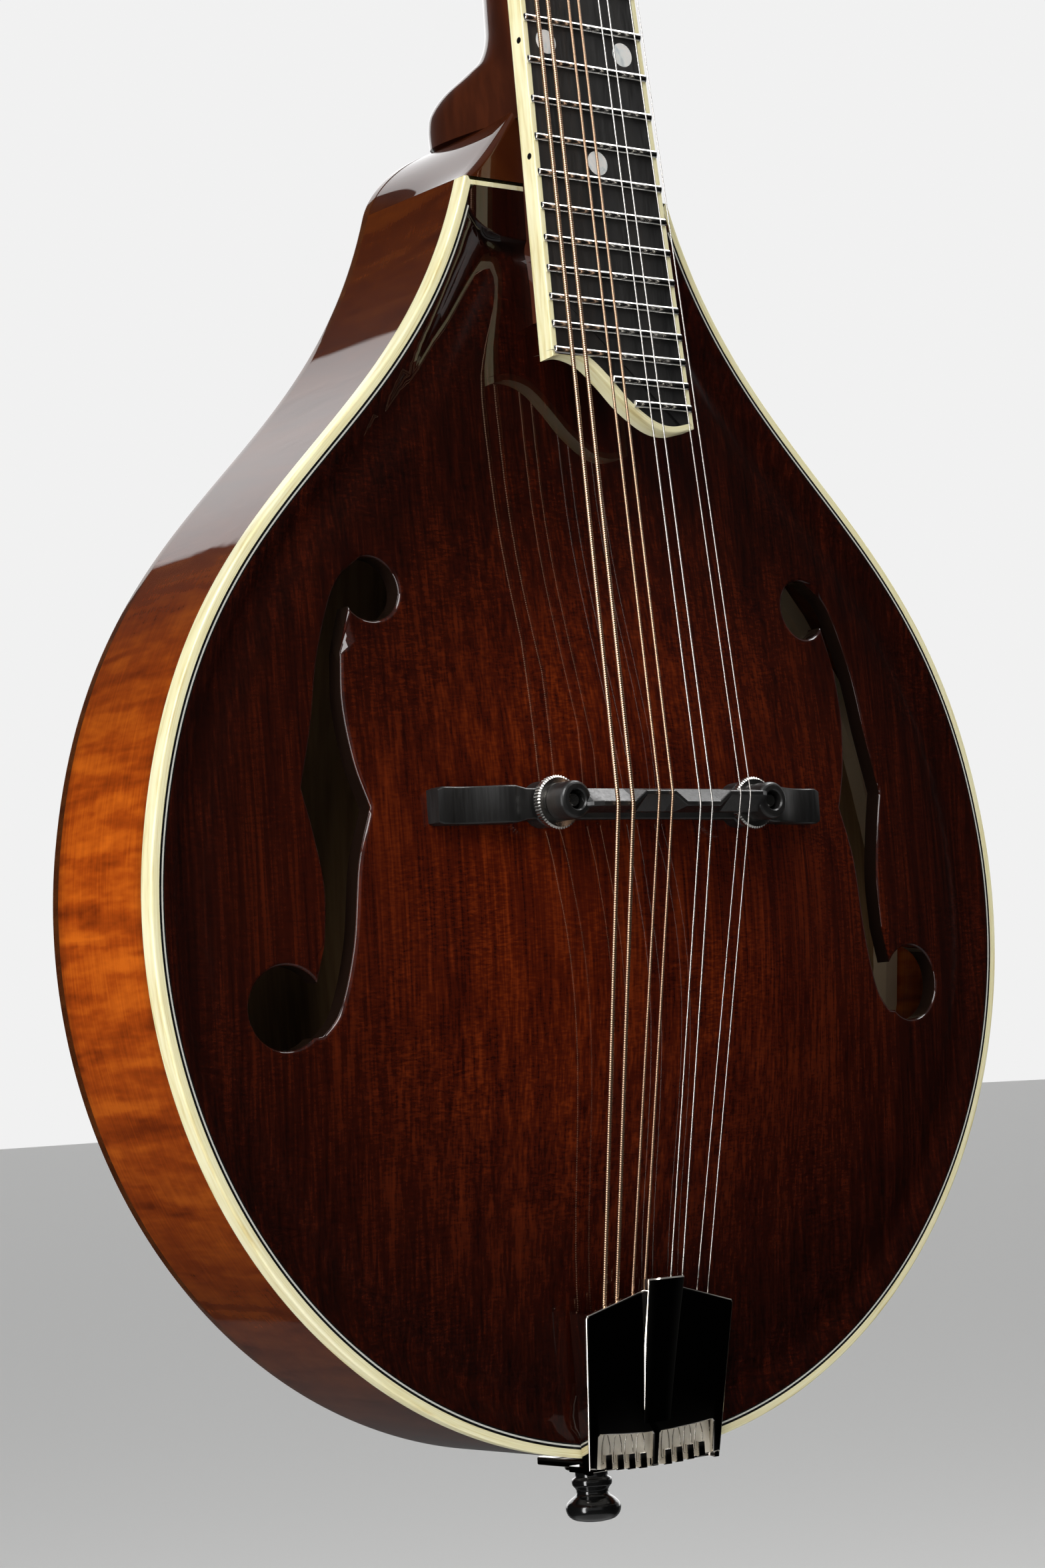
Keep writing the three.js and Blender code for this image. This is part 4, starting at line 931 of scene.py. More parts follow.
def make_fingerboard():
    path = board_path()
    out = mitred(path)
    profile = [(BOARD_EDGE, 0), (BOARD_EDGE, BOARD_THICK), (0, BOARD_THICK)] + rounding(0.4, 0, 0, 1, 4)
    rows = swept(path, profile, out=out)
    run = np.repeat(lengths(path), len(profile)) * MM
    side = np.tile(lengths(np.array(profile)), len(rows)) / 8
    make("fingerboard_edge", loft(rows), IVOROID, "ivoroid", replaces=("fingerboard_binding",), place=NECK,
         run=run, side=side)
    inner = path - out * (BOARD_EDGE + 0.01)
    inner = np.vstack([inner, [(board_half(0), 0), (-board_half(0), 0)]])
    make("fingerboard_face", slab(inner, 0, BOARD_THICK, 0.05, 0.05), BOARD_EBONY, "board_ebony",
         replaces=("fingerboard",), place=NECK)
    frets = []
    a = np.linspace(math.pi, 0, 9)
    for n in range(1, FRETS + 1):
        s = fret_at(n)
        left, right = fret_bass_end(s, path), board_half(s) - 0.5
        crown = [(math.cos(t), -0.98 * math.sin(t) ** 0.8 + 0.03) for t in a] + [(0.4, 1.2), (-0.4, 1.2)]
        rings = []
        for inset, high in ((0, 0.72), (0.16, 0.96), (0.4, 1)):
            rings.append([(left + inset, y * high if y < 0 else y, z - s) for z, y in crown])
        rings += [[(left + right - x, y, z) for x, y, z in ring] for ring in rings[::-1]]
        frets.append(loft(rings))
    make("frets", merged(*frets), FRET_METAL, "fret_metal", place=NECK, sharp=40)
    dots, marks = [], []
    dot = [(3.0, -1), (3.0, 0.01), (2.9, 0.025)]
    for n, places in DOTS.items():
        for x in places:
            dots.append(turned(dot, (x, 0, -between_frets(n)), (0, -1, 0), 40))
    for n in SIDE_DOTS:
        s = between_frets(n)
        marks.append(turned([(0.8, -1), (0.8, 0.01), (0.7, 0.03)], (-board_half(s), 1.9, -s), (-1, 0, 0), 20))
    make("position_dots", merged(*dots), PEARL, "pearl", place=NECK)
    make("side_dots", merged(*marks), BLACK_LINE, "black_line", place=NECK)


make_fingerboard()


# ---------- Neck ----------
# At the rim plane: z, half width at the board, y of the back of the neck, and how round the section is.
NECK_STATIONS = [
    (317.7, 15.3, 21.6, 0.34),
    (322.5, 15.6, 21.6, 0.34),
    (326.2, 16.2, 20.2, 0.38),
    (329.5, 16.9, 15.5, 0.48),
    (332.1, 17.3, 7.5, 0.6),
    (334.5, 17.6, 0, 0.72),
    (339, 17.8, -3.4, 0.83),
    (346, 17.9, -3.9, 0.85),
    (370, 17.3, -3.4, 0.85),
    (430, 15.8, -1.2, 0.85),
    (488, 14.3, 1.6, 0.85),
    (499, 14.2, 3.4, 0.85),
    (509, 14.4, 8, 0.85),
]
HEAD_THROAT = [(14.6, 3), (17.5, 10), (22.5, 18), (24.4, 30)]
HEAD_TOP = [(27.4, 140), (27, 147), (23.4, 152), (13, 156.5), (0, 158)]
HEAD_THICK = 14
OVERLAY = 1.8
POST_X = 15
POST_AT = (36, 59, 82, 105)
POST_RADIUS = 3.1
POST_HIGH = 9
RISER_END = 237.5  # from the nut
NUT_HIGH = 1.4


def neck_ring(z, half, back, square):
    down = (NUT_Z - z) / math.cos(NECK_ANGLE)
    top = (NECK @ Vector((0, BOARD_THICK + 0.05, -down))).y
    a = np.linspace(0, math.pi, 41)
    x = half * np.sign(np.cos(a)) * np.abs(np.cos(a)) ** square
    y = top + (back - top) * np.sin(a) ** 0.9
    return np.stack([x, y, z + (y - FRONT) * LEAN], 1)


def make_neck():
    rings = [neck_ring(*station) for station in smooth(NECK_STATIONS, 6)]
    make("neck_shaft", loft(rings), NECK_WOOD, "neck_wood", replaces=("neck",), sharp=50)
    half = np.vstack([[(14.4, -3)], smooth(HEAD_THROAT, 6), smooth(HEAD_TOP, 6)])
    outline = np.vstack([half, flipped(half)[1:]])
    make("head_core", slab(outline, OVERLAY + 0.02, HEAD_THICK, 0.1, 1.6), NECK_WOOD, "neck_wood", place=HEAD)
    face = outline.copy()
    face[:, 1] = np.maximum(face[:, 1], 4.2)
    keep = [i for i in range(len(face)) if np.linalg.norm(face[i] - face[i - 1]) > 0.01]
    make("headstock_face", slab(face[keep], 0, OVERLAY, 0.5, 0.02), BLACK_GLOSS, "black_gloss",
         replaces=("headstock_overlay",), place=HEAD)
    bell = smooth([(8.5, 6), (8, 9), (6, 15), (3.6, 24), (1.6, 28.5), (0, 29.3)], 5)
    bell = np.vstack([bell, flipped(bell)[1:]])
    make("truss_cover", slab(bell, -1.8, -0.02, 0.5, 0.02), BLACK_GLOSS, "black_gloss",
         replaces=("truss_rod_cover",), place=HEAD)
    wider = bell * (1.05, 1.0) + (0, 0.1)
    make("truss_cover_line", slab(wider, -1.1, -0.01, 0.1, 0.02), WHITE_LINE, "ivoroid", place=HEAD)
    screws = [screw_head((x, -1.8, z), (0, -1, 0), 1.5) for x, z in ((0, 25.5), (0, 9))]
    make("truss_cover_screws", merged(*screws), NICKEL, "nickel", place=HEAD)


def screw_head(centre, axis, radius):
    """A raised round head."""
    profile = [(radius, -0.6), (radius, 0.05), (radius * 0.85, 0.32), (radius * 0.5, 0.5), (0.3, 0.55)]
    return turned(profile, centre, axis, 24)


def make_riser():
    """The wood under the board's end, down to the top plate."""
    rings = []
    for s in np.linspace(RISER_END, 189.3, 14):
        points = []
        for x, drop in ((-RISER_HALF, 0), (RISER_HALF, 0), (RISER_HALF, 1), (-RISER_HALF, 1)):
            top = NECK @ Vector((x, BOARD_THICK + 0.02, -s))
            floor = FRONT - top_height(np.array([[x, top.z]]))[0] + 0.8
            points.append((x, floor if drop else top.y, top.z))
        rings.append(points)
    make("riser", loft(rings), NECK_WOOD, "neck_wood", replaces=("fingerboard_riser",))


def make_nut():
    outline = [(-board_half(0), 4.4), (-board_half(0), 0.15), (board_half(0), 0.15), (board_half(0), 4.4)]
    nut = slab(outline, -NUT_HIGH, BOARD_THICK - 0.4, 0.7, 0.1)
    make("nut_bone", nut, BONE, "bone", replaces=("nut",), place=NECK)


make_neck()
make_riser()
make_nut()


# ---------- Bridge ----------
BRIDGE_Z = 151.4
BRIDGE_POST = 29.7
BASE_HALF = 57.8
BASE_TOP = 16.2  # heights over the rim plane
WHEEL_LOW, WHEEL_TOP = 17.5, 19.5
SADDLE_LOW = 19.7
BOSS_TOP = 26.2
CROWN_TOP = 28.8
# The crown steps up and down the body, for each pair of strings: from x, to x, and how far up.
CROWN = ((-26, -13, -1.1), (-13, -1, 1.3), (-1, 12.5, -1.1), (12.5, 26, 1.3))


def up(high):
    return FRONT - high


def hollow_turned(profile, centre, axis, sides=40):
    """A closed profile of (radius, distance along the axis), turned into a ring."""
    points, _ = turned(profile, centre, axis, sides)
    return points, quads(len(profile), sides, ring=True, loop=True)


def across_bridge(x, section):
    """The bridge's outline at x, from half of it: each point's height, half width and shift up the body."""
    ring = [(x, up(high), BRIDGE_Z + shift - half) for high, half, shift in section]
    return ring + [(x, up(high), BRIDGE_Z + shift + half) for high, half, shift in section[::-1]]


def make_bridge_foot():
    rings = []
    for x in np.linspace(-BASE_HALF, BASE_HALF, 93):
        away = abs(x)
        floor = float(arch(np.array([[x, BRIDGE_Z]]), TOP_ARCH, 1.6)[0])
        low = floor + (1.1 * math.cos(math.pi * away / 60) if away < 30 else 0)
        wave = 4.9 + 1.15 * math.cos((away - 40) / 3.4) * ease(away, 36, 40) - 0.9 * ease(away, 55.5, 57.8)
        step = ease(away, 36.3, 38.6)  # past the wheels the top drops to the ends, which follow the arch
        high = BASE_TOP + (floor + wave - BASE_TOP) * step
        half = 3.6 + 0.7 * step - 0.5 * ease(away, 56.8, 57.8)
        r = 0.5
        edge = [(high - r, half, 0), (high - r / 3, half - r / 3, 0), (high, half - r, 0)]
        rings.append(across_bridge(x, [(low, half, 0), *edge]))
    solids = [loft(rings)]
    pad = [(5.4, 12), (5.4, BASE_TOP - 0.3), (5.1, BASE_TOP + 0.02)]
    for _, way in SIDES:
        solids.append(turned(pad, (way * BRIDGE_POST, FRONT, BRIDGE_Z), (0, -1, 0), 40))
    make("bridge_foot", merged(*solids), BRIDGE_EBONY, "bridge_ebony", replaces=("bridge_base",), sharp=38)


def make_saddle():
    stations = [(-27.5, -1.1, BOSS_TOP - 0.6), (-26.2, -1.1, CROWN_TOP - 1.2), (-24, -1.1, CROWN_TOP)]
    for (_, x, lean), (*_, after) in zip(CROWN, CROWN[1:]):
        stations += [(x - 1.7, lean, CROWN_TOP), (x + 1.7, after, CROWN_TOP)]
    stations += [(24, 1.3, CROWN_TOP), (26.2, 1.3, CROWN_TOP - 1.2), (27.5, 1.3, BOSS_TOP - 0.6)]
    rings = []
    for x, lean, top in stations:
        low = SADDLE_LOW + 0.9 * (1 - (x / 30) ** 2)
        side = [(low, 2.1, 0), (low + 0.5, 2.6, 0), (24.2, 2.6, 0)]
        rings.append(across_bridge(x, [*side, (top - 0.25, 0.62, lean), (top, 0.4, lean)]))
    solids = [loft(rings)]
    profile = [(2.3, SADDLE_LOW), (4.0, SADDLE_LOW), (4.4, SADDLE_LOW + 0.4), (4.4, BOSS_TOP - 1.2)]
    for t in np.linspace(0.3, 1.57, 5):
        profile.append((4.4 - 1.2 * (1 - math.cos(t)), BOSS_TOP - 1.2 + 1.2 * math.sin(t)))
    profile += [(2.6, BOSS_TOP), (2.3, BOSS_TOP - 0.3)]
    for _, way in SIDES:
        solids.append(hollow_turned(profile, (way * BRIDGE_POST, FRONT, BRIDGE_Z), (0, -1, 0)))
    make("saddle_body", merged(*solids), BRIDGE_EBONY, "bridge_ebony", "saddle", ("bridge_saddle",), sharp=16)


def make_adjusters():
    thread = [(1.5 if i % 2 else 1.28, 11.9 + 0.25 * i) for i in range(53)]
    for name, way in SIDES:
        centre = np.array((way * BRIDGE_POST, FRONT, BRIDGE_Z))
        post = turned(thread, centre, (0, -1, 0), 20)
        make(f"post_{name}", post, SATIN_NICKEL, "nickel", replaces=(f"bridge_post_{name}",))
        make(f"wheel_{name}_knurled", knurled(centre), SATIN_NICKEL, "nickel", f"wheel_{name}",
             (f"thumbwheel_{name}",), sharp=30)


def knurled(centre):
    """A thumbwheel with a toothed rim and chamfered edges."""
    sides = 144
    a = np.linspace(0, 2 * math.pi, sides, endpoint=False)
    rows = []
    for radius, high, deep in (
        (1.7, WHEEL_LOW, 0), (5.7, WHEEL_LOW, 0), (6.2, WHEEL_LOW + 0.35, 1), (6.2, WHEEL_TOP - 0.35, 1),
        (5.7, WHEEL_TOP, 0), (1.7, WHEEL_TOP, 0),
    ):
        r = radius - deep * 0.22 * (np.arange(sides) % 3 == 0)
        rows.append(np.stack([r * np.cos(a), np.full(sides, -high), r * np.sin(a)], 1) + centre)
    return np.vstack(rows), quads(len(rows), sides, ring=True, loop=True)


make_bridge_foot()
make_saddle()
make_adjusters()


# ---------- Tailpiece and end pin ----------
HOOK_X = (-14.05, -10.6, -7.2, -3.75, 3.75, 7.2, 10.6, 14.05)
TAIL_LOW = -2.4
COVER_RISE = (2.7, 8.4)  # height of the cover's face over the rim plane, at its lower end and its wings
COVER_THICK = 1.2
WING = (22.3, 34.4)
PEAK = (5.2, 39.0)
WINDOW = (17.4, 9.3)  # half width, and how far up the cover
WINDOW_RIB = 1.0
TAB_Z = (10.5, 44.3)  # along the cover, from where the raised tab dies to its end
BED = (0.75, 0.2)  # heights of the floor inside over the rim plane
HOOK_TOP = 3.1
HOOK_GRIP = 1.45
PIN_RADIUS = 3
COVER_SLOPE = (COVER_RISE[1] - COVER_RISE[0]) / (WING[1] - TAIL_LOW)
COVER_TILT = math.atan(COVER_SLOPE)
COVER = Matrix.Translation((0, up(COVER_RISE[0]), TAIL_LOW)) @ Matrix.Rotation(COVER_TILT, 4, "X")
COVER_LONG = (WING[1] - TAIL_LOW) / math.cos(COVER_TILT)
PEAK_LONG = (PEAK[1] - TAIL_LOW) / math.cos(COVER_TILT)


def bow(x):
    """The cover's lower edge and its windows are bowed."""
    return 1.2 * (x / 18) ** 2


def bowed(x0, x1, z, steps=7):
    return [(x, z + bow(x)) for x in np.linspace(x0, x1, steps)]


def make_tailpiece():
    half, rib, top = WINDOW[0], WINDOW_RIB, WINDOW[1] - 1.2
    left = [(-19.8, 0.9), *bowed(-19.4, -half, 0, 3), (-half, top + 0.6)]
    left += [*bowed(-half + 0.5, -rib - 0.4, top), (-rib, top - 0.4), (-rib, 0.3)]
    right = flipped(np.array(left))
    crown = [(WING[0] - 0.1, COVER_LONG - 0.8), (WING[0] - 0.5, COVER_LONG + 0.1), (PEAK[0], PEAK_LONG)]
    outline = np.vstack([left, right, crown, flipped(np.array(crown))])
    solids = [slab(outline, 0, COVER_THICK, 0.45, 0.15)]
    # The raised tab: a band that stands proud of the upper end and sinks into the cover.
    rings = []
    for share in np.linspace(0, 1, 14):
        z = TAB_Z[0] + (TAB_Z[1] - TAB_Z[0]) * share
        side = 3.9 + 1.5 * share
        high = -0.02 - 1.65 * share ** 1.4
        r = min(0.35, 0.05 + 0.5 * share)
        section = [(-side - 0.10, 0.7), (-side, high + r)]
        section += [(-side + 0.3 * r, high + 0.3 * r), (-side + r, high)]
        rings.append([(x, y, z) for x, y in section] + [(-x, y, z) for x, y in section[::-1]])
    rings.append([(x, y + 0.3 if y < 0 else y, z + 0.3) for x, y, z in rings[-1]])
    solids.append(loft(rings))
    for way in (-1, 1):
        rings = []
        for share in np.linspace(0, 1, 6):
            x, z = 19.75 + 2.5 * share, COVER_LONG * share
            deep = 2.3 + 4.2 * share
            wall = [(x, 0.4), (x, deep), (x - 1.4, deep), (x - 1.4, 0.4)]
            rings.append([(way * a, y, z) for a, y in wall])
        solids.append(loft(rings))
    solids = [(np.array([COVER @ Vector(point) for point in points]), faces) for points, faces in solids]
    low = TAIL_LOW
    bed = [(-18.6, low + 1.2), *bowed(-half, half, low, 9), (18.6, low + 1.2), (18.6, 15), (-18.6, 15)]
    make("tailpiece_bed", slab(bed, up(BED[0]), up(BED[1]), 0.15, 0.05), PLATE_NICKEL, "nickel")
    solids.append(block((-rib, rib), (up(2.5), up(0.3)), (low + 0.15, low + 2), 0.1))
    solids.append(block((-18.2, 18.2), (up(0.7), FRONT + 7), (low + 0.3, low + 1.7), 0.25))
    plate = [(-11, FRONT + 6), (11, FRONT + 6), (11, 6.5), (9, 8.5), (-9, 8.5), (-11, 6.5)]
    points, faces = slab([(x, -y) for x, y in plate[::-1]], low, low + 1.7, 0.35, 0.05)
    solids.append((points[:, [0, 2, 1]] * (1, -1, 1), faces))
    hooks = []
    for x in HOOK_X:
        foot = low + bow(x)
        for side, high, deep, start, end, edge in (
            (0.98, HOOK_TOP, HOOK_TOP - 1.0, 0.05, 3.6, 0.2),
            (0.8, HOOK_TOP - 0.4, 0.5, 0.15, 1.3, 0.15),
        ):
            hooks.append(block((x - side, x + side), (up(high), up(deep)), (foot + start, foot + end), edge))
    make("tailpiece_shell", merged(*solids), NICKEL, "nickel", replaces=("tailpiece",), sharp=30)
    make("tailpiece_hooks", merged(*hooks), NICKEL, "nickel", sharp=30)
    for name, x in (("bass", -7.2), ("treble", 7.2)):
        make(f"tail_screw_{name}", screw_head((x, -9.5, low - 0.1), (0, 0, -1), 2.6), NICKEL, "nickel",
             replaces=(f"tailpiece_screw_{name}",))


def make_end_pin():
    ball = [(3.0, -16.4), (5.0, -15.9), (6.2, -14.8), (6.6, -13.4), (6.3, -12.2), (5.2, -11.1)]
    waist = [(4.1, -10.3), (3.8, -9.3), (4.2, -8.5)]
    collar = [(4.7, -7.9), (4.8, -7.2), (4.7, -6.5), (4.1, -6.1), (3.9, -5.4), (3.9, TAIL_LOW - 0.2)]
    inner = [(PIN_RADIUS, TAIL_LOW - 0.2), (PIN_RADIUS - 0.4, 14)]
    profile = [(0.2, -16.4), *map(tuple, smooth(ball + waist + collar, 4)), *inner]
    make("end_pin_turned", turned(profile, (0, 0, 0), (0, 0, 1), 56), BLACK_GLOSS, "bridge_ebony",
         replaces=("end_pin",), sharp=60)
    ring = [(PIN_RADIUS, -4.1), (6.0, -4.1), (6.3, -3.8), (6.3, -3.3), (6.0, -3.0), (PIN_RADIUS, -3.0)]
    make("end_pin_washer", hollow_turned(ring[::-1], (0, 0, 0), (0, 0, 1)), NICKEL, "nickel")


make_tailpiece()
make_end_pin()


# ---------- Strings ----------
# Name, radius, x and half gap at the nut, the same at the bridge, the tuner's side and its first place.
COURSES = (
    ("g", 0.51, -11.2, 1.3, -18.4, 2.2, -1, 0),
    ("d", 0.33, -3.7, 1.2, -6.1, 2, -1, 2),
    ("a", 0.2, 3.7, 1.1, 6.1, 1.8, 1, 2),
    ("e", 0.15, 11.2, 1, 18.4, 1.5, 1, 0),
)
HOOK_END = TAIL_LOW + 3.8


def neck_point(x, y, z):
    return np.array(NECK @ Vector((x, y, z)))


def cover_edge(x):
    return PEAK[1] - (PEAK[1] - WING[1]) / (WING[0] - PEAK[0]) * max(0, abs(x) - PEAK[0])


def string_path(course, pair):
    _, radius, nut_x, nut_gap, bridge_x, bridge_gap, side, first = COURSES[course]
    way = 1 if pair else -1
    post = POST_AT[first + (pair if side < 0 else 1 - pair)]
    lean = CROWN[course][2]
    round_ = POST_RADIUS + 0.1 + radius
    points = []
    # Three turns round the post, then off it towards the nut.
    for i in range(64, -1, -1):
        a = i / 64 * math.pi * 6.3
        drop = -3.4 - 2.2 * radius * a / (2 * math.pi) * 0.9
        turn = (side * (POST_X - round_ * math.cos(a)), drop, post + round_ * math.sin(a))
        points.append(np.array(HEAD @ Vector(turn)))
    at_nut, over = nut_x + way * nut_gap, -NUT_HIGH - 0.05 - radius
    points += [neck_point(at_nut, over, 3.4), neck_point(at_nut, over, 0.6)]
    at_bridge = bridge_x + way * bridge_gap
    crown = up(CROWN_TOP + 0.02 + radius)
    points += [np.array((at_bridge, crown, BRIDGE_Z + lean + step)) for step in (0.5, -0.5)]
    hook = HOOK_X[course * 2 + pair]
    edge = cover_edge(hook) - 0.6
    under = COVER_RISE[0] + (edge - TAIL_LOW) * COVER_SLOPE - COVER_THICK / math.cos(COVER_TILT)
    share = (BRIDGE_Z - edge) / (BRIDGE_Z - HOOK_END)
    at_edge = at_bridge + (hook - at_bridge) * share
    points.append(np.array((at_edge, up(under - 0.3 - radius), edge)))
    points.append(np.array((at_edge + (hook - at_edge) * 0.8, up(HOOK_GRIP + 0.95), 8.0)))
    return points


def string_loop(hook, end):
    """The string's end: a twist, and a loop down both sides of its hook."""
    foot = TAIL_LOW + bow(hook)
    right = [end, (hook + 0.5, end[1] + 0.1, 6.4), (hook + 1.15, up(2.1), 3.6)]
    right += [(hook + 1.12, up(1.7), foot + 2), (hook + 0.6, up(1.5), foot + 1.6)]
    left = [(2 * hook - a, b, c) for a, b, c in right[:0:-1]]
    x, y, z = end
    coil = []
    for t in np.linspace(0, 1, 40):
        coil.append((x + 0.28 * math.cos(t * 40), y + 0.28 * math.sin(t * 40), z + 4 * t + 0.5))
    return [tube(smooth(right + left + [end], 5), 0.14, 8), tube(coil, 0.15, 6)]


def make_strings():
    bronze = (0.86, 0.55, 0.36)
    looks = {"g": wound("bronze_g", bronze, 0.00052), "d": wound("bronze_d", bronze, 0.00040)}
    looks |= {"a": STEEL, "e": STEEL}
    loops = []
    for course, (name, radius, *_) in enumerate(COURSES):
        slot = "bronze_string" if course < 2 else "steel_string"
        for pair in (0, 1):
            node = f"string_{name}{pair + 1}"
            path = np.array(string_path(course, pair))
            run = np.repeat(lengths(path), 12) * MM
            line = tube(path, radius, 12)
            make(f"{node}_line", line, looks[name], slot, replaces=(node,), run=run, sharp=50)
            loops += string_loop(HOOK_X[course * 2 + pair], path[-1])
    make("string_loops", merged(*loops), NICKEL, "steel_string", sharp=60)


make_strings()


# ---------- Tuning machines ----------
GEAR_TEETH = 14
PITCH = 1.885
GEAR_RADIUS = GEAR_TEETH * PITCH / (2 * math.pi)
WORM_RADIUS = 2.1
AXIS_GAP = GEAR_RADIUS + WORM_RADIUS
GEAR_Y = HEAD_THICK + 4.1
GEAR_WIDE = 2.4
ADDENDUM, DEDENDUM = 0.5, 0.75
TWIST = GEAR_WIDE * PITCH / (2 * math.pi * WORM_RADIUS) / GEAR_RADIUS
TOOTH = ((-0.3, -DEDENDUM), (-0.13, ADDENDUM), (0.13, ADDENDUM), (0.3, -DEDENDUM))


def gear(side, at):
    rings = []
    for y, turn in ((GEAR_Y - GEAR_WIDE / 2, TWIST / 2), (GEAR_Y + GEAR_WIDE / 2, -TWIST / 2)):
        ring = []
        for tooth in range(GEAR_TEETH):
            for share, high in TOOTH:
                a = (tooth + share) * 2 * math.pi / GEAR_TEETH + turn
                r = GEAR_RADIUS + high
                ring.append((side * POST_X + r * math.sin(a), y, at + r * math.cos(a)))
        rings.append(ring)
    return loft(rings)


def worm(side, at):
    """The worm's thread, along the knob's own axis from the post outwards."""
    phase = 0.5 if side < 0 else 0
    rings = []
    sides, rows = 24, 48
    for r in range(rows + 1):
        x = (r / rows - 0.5) * 2 * PITCH
        ring = []
        for i in range(sides):
            a = 2 * math.pi * i / sides
            turn = x / PITCH - a / (2 * math.pi) + phase
            away = abs(turn - round(turn))
            t = 1 - min(1, max(0, (away - 0.1) / 0.17))
            radius = WORM_RADIUS - DEDENDUM + t * (ADDENDUM + DEDENDUM)
            ring.append((x, radius * math.sin(a), radius * math.cos(a)))
        rings.append(ring)
    points, faces = loft(rings)
    if side < 0:
        points = points * (-1, 1, -1)
    return points + (side * POST_X, GEAR_Y, at + AXIS_GAP), faces


def make_tuner(key, side, at):
    centre = (side * POST_X, 0, at)
    profile = [(2.7, -GEAR_Y - 2.2), (3.1, -GEAR_Y - 1.9), (3.1, 2.6), (2.75, 3.2), (2.75, 5.4), (3.1, 6)]
    profile += [(3.1, POST_HIGH - 0.5), (2.6, POST_HIGH)]
    post = merged(turned(profile, centre, (0, -1, 0), 32), gear(side, at))
    make(f"post_{key}_turned", post, SATIN_NICKEL, "nickel", f"post_{key}",
         (f"tuner_post_{key}",), place=HEAD)
    inner = POST_RADIUS + 0.15
    bush = hollow_turned([(inner, 0.02), (5, 0.02), (5, 0.5), (4.4, 1.0), (inner, 1.0)], centre, (0, -1, 0))
    make(f"bushing_{key}", bush, NICKEL, "nickel", place=HEAD)
    axle = (side * POST_X, GEAR_Y, at + AXIS_GAP)
    profile = [(1.2, -5.6), (1.2, 17.4), (2.2, 17.6), (2.2, 19.6), (1.5, 19.9), (1.5, 21)]
    shaft = merged(turned(profile, axle, (side, 0, 0), 24), worm(side, at))
    make(f"knob_{key}_shaft", shaft, SATIN_NICKEL, "nickel", f"knob_{key}",
         (f"tuner_knob_{key}",), place=HEAD)
    ball = [(max(0.02, math.cos(t)) ** 0.8, math.sin(t)) for t in np.linspace(-math.pi / 2, math.pi / 2, 22)]
    points, faces = turned(ball, (0, 0, 0), (side, 0, 0), 40)
    points = points * (7.2, 3.3, 6) + (side * (POST_X + 25.5), GEAR_Y, at + AXIS_GAP)
    make(f"button_{key}", (points, faces), BUTTON, "button", f"knob_{key}", place=HEAD, sharp=60)


def make_tuner_plate(name, side):
    low, high = POST_AT[0] - 8, POST_AT[3] + 14
    outline = [(8.6, low), (12, low - 3), (18, low - 3), (21.4, low)]
    outline += [(21.4, high), (18, high + 3), (12, high + 3), (8.6, high)]
    outline = [(side * x, z) for x, z in outline][::side]
    y = HEAD_THICK + 0.02
    solids = [slab(outline, y, y + 1.1, 0.05, 0.3)]
    for at in POST_AT:
        z = at + AXIS_GAP
        for along in (-1, 1):
            mid = POST_X + along * 4.5
            x = sorted((side * (mid - 0.5), side * (mid + 0.5)))
            solids.append(block(x, (y + 0.5, GEAR_Y + 2.6), (z - 1.9, z + 2.6), 0.3))
        cap = [(2.4, -1.2), (2.4, 0.3), (1.9, 0.8), (0.8, 1.0)]
        solids.append(turned(cap, (side * POST_X, GEAR_Y + 2.3, at), (0, 1, 0), 24))
    for z in (low + 2.5, 70.5 + AXIS_GAP / 2, high - 2.5):
        solids.append(screw_head((side * 10.6, y + 1.1, z), (0, 1, 0), 1.4))
    make(f"tuner_strip_{name}", merged(*solids), NICKEL, "nickel",
         replaces=(f"tuner_plate_{name}",), place=HEAD)


for side_name, side_way in SIDES:
    for number, post_at in enumerate(POST_AT, 1):
        make_tuner(f"{side_name}_{number}", side_way, post_at)
    make_tuner_plate(side_name, side_way)


# ---------- Camera, light and floor ----------
# Metres and degrees, unlike the rest of the script.
CAMERA_AT = (-0.50369, -0.64055, 0.08913)
CAMERA_TURN = (95.0114, 3.4510, -37.4217)
LENS = 77.323
FLOOR_LEVEL = -0.30
FLOOR_HALF = 30
# Name, place, what it is aimed at, size and watts.
LIGHTS = (
    ("key", (-1.15, -0.85, 1.35), (0, 0, 0.16), (1.0, 1.0), 27),
    ("side_strip", (-1.5, -0.30, 0.10), (0, 0, 0.15), (0.35, 1.5), 13),
    ("overhead", (0.75, -0.15, 1.45), (0, 0, 0.2), (0.9, 0.6), 14),
)
# Black screens that the lacquer mirrors: which way they are, and between which cosines they fade in.
SCREENS = (((0.61, -0.785, 0.10), 0.68, 0.86), ((-0.62, 0.76, 0.20), 0.45, 0.70))


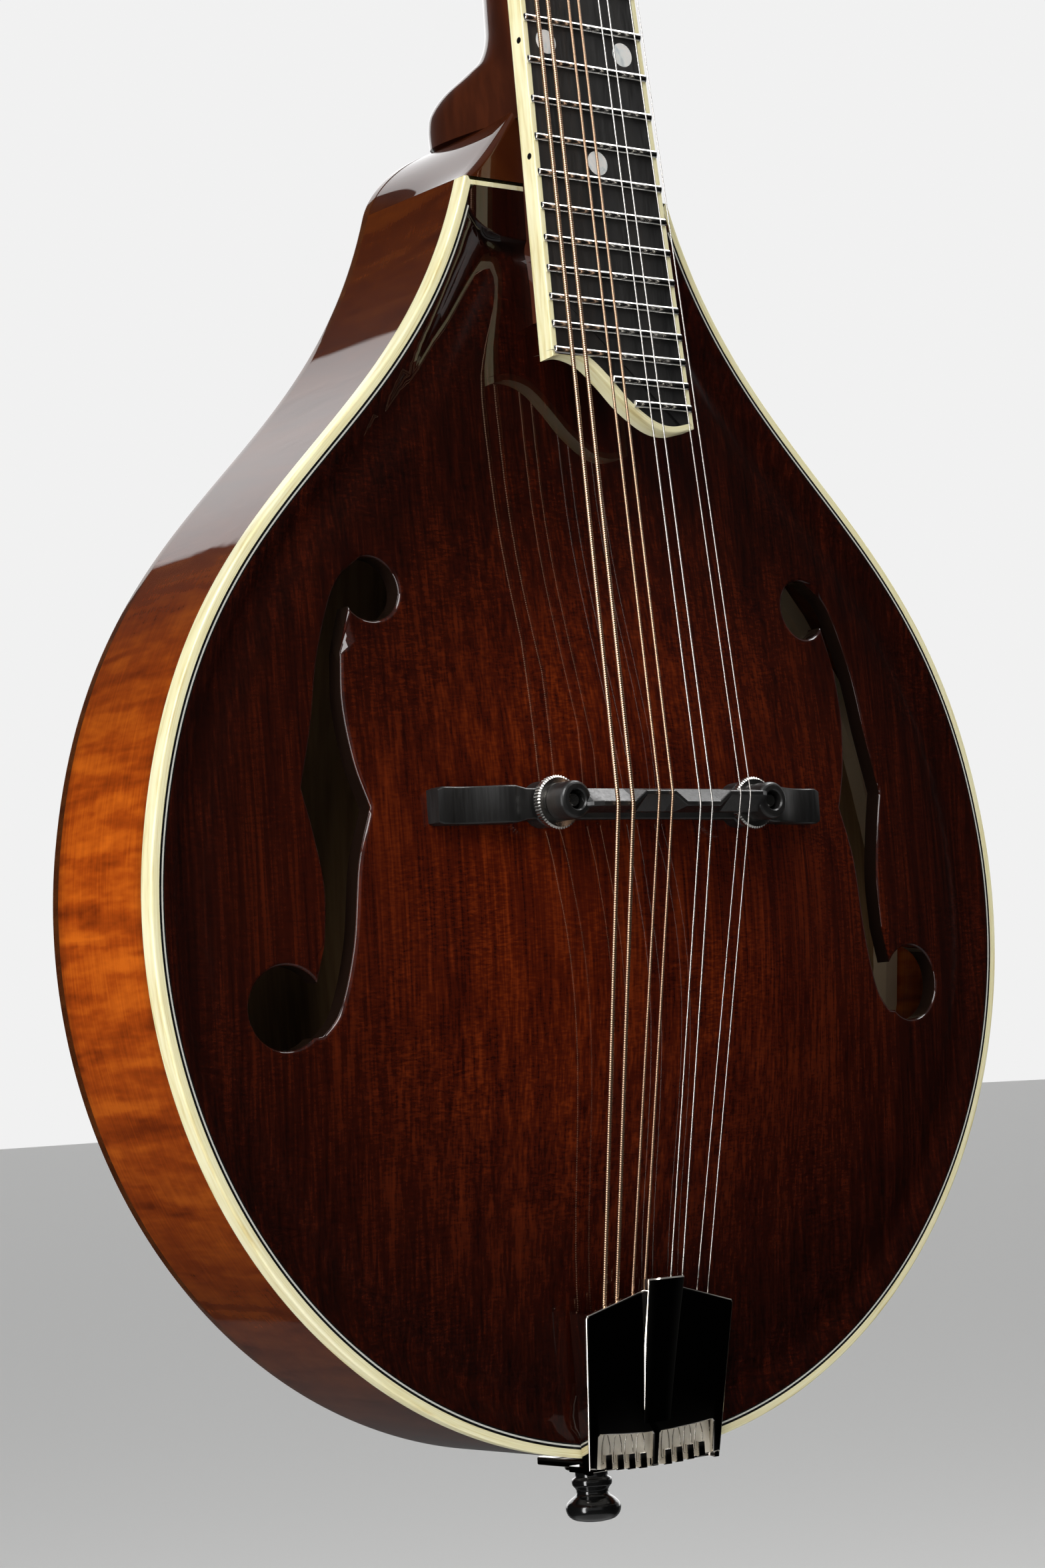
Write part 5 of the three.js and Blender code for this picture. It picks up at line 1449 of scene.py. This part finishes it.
def make_stage():
    camera = bpy.data.cameras.new("camera")
    camera.sensor_fit = "VERTICAL"
    camera.sensor_height = 36
    camera.lens = LENS
    holder = bpy.data.objects.new("camera", camera)
    holder.location = CAMERA_AT
    holder.rotation_euler = [math.radians(a) for a in CAMERA_TURN]
    scene.collection.objects.link(holder)
    scene.camera = holder
    paint = plain("floor_paint", (0.74, 0.74, 0.73), 0.6, 0.0, 0.03)
    mesh = bpy.data.meshes.new("floor")
    corners = [(x * FLOOR_HALF, y * FLOOR_HALF, FLOOR_LEVEL) for x, y in ((-1, -1), (1, -1), (1, 1), (-1, 1))]
    mesh.from_pydata(corners, [], [(0, 1, 2, 3)])
    mesh.materials.append(paint)
    floor = bpy.data.objects.new("floor", mesh)
    scene.collection.objects.link(floor)
    floor.visible_glossy = False
    for name, place, aim, size, power in LIGHTS:
        light = bpy.data.lights.new(name, "AREA")
        light.shape = "RECTANGLE"
        light.size, light.size_y = size
        light.energy = power
        lamp = bpy.data.objects.new(name, light)
        lamp.location = place
        way = Vector(aim) - Vector(place)
        lamp.rotation_euler = way.to_track_quat("-Z", "Y").to_euler()
        scene.collection.objects.link(lamp)
    scene.world = studio()
    scene.view_settings.view_transform = "Standard"


def studio():
    """A pale room with a white backdrop behind the treble side. What the lacquer mirrors is darker: there
    is a black screen before the face and one beyond the bass side, and little light from below."""
    world = bpy.data.worlds.new("studio")
    world.use_nodes = True
    tree = world.node_tree
    background = tree.nodes["Background"]
    background.inputs[0].default_value = (1, 1, 1, 1)

    def node(kind, *values, **settings):
        made = tree.nodes.new("ShaderNode" + kind)
        for key, value in settings.items():
            setattr(made, key, value)
        for socket, value in zip(made.inputs, values):
            if isinstance(value, bpy.types.NodeSocket):
                tree.links.new(value, socket)
            elif value is not None:
                socket.default_value = value
        return made.outputs

    def times(a, b):
        return node("Math", a, b, operation="MULTIPLY")[0]

    def fade(*values):
        return node("MapRange", *values, interpolation_type="SMOOTHSTEP")[0]

    way = node("TexCoord")["Generated"]
    light = 0.20
    for screen, start, end in SCREENS:
        facing = node("VectorMath", way, screen, operation="DOT_PRODUCT")["Value"]
        light = times(light, fade(facing, start, end, 1.0, 0.03))
    x, y, z = node("SeparateXYZ", way)
    beside = node("Math", x, times(y, 0.05), operation="SUBTRACT")[0]
    backdrop = times(fade(beside, -0.006, 0.010, 0.0, 1.35), fade(y, 0.05, 0.30, 0.0, 1.0))
    room = node("Math", light, backdrop, operation="ADD")[0]
    room = times(room, fade(z, -0.10, 0.02, 0.05, 1.0))
    room = node("Math", room, fade(z, -0.80, -0.55, 0.30, 0.0), operation="ADD")[0]
    seen = node("LightPath")["Is Camera Ray"]
    # The camera itself sees an even pale backdrop.
    mixed = node("Mix", seen, None, room, 0.88)[0]
    tree.links.new(mixed, background.inputs[1])
    return world


make_stage()
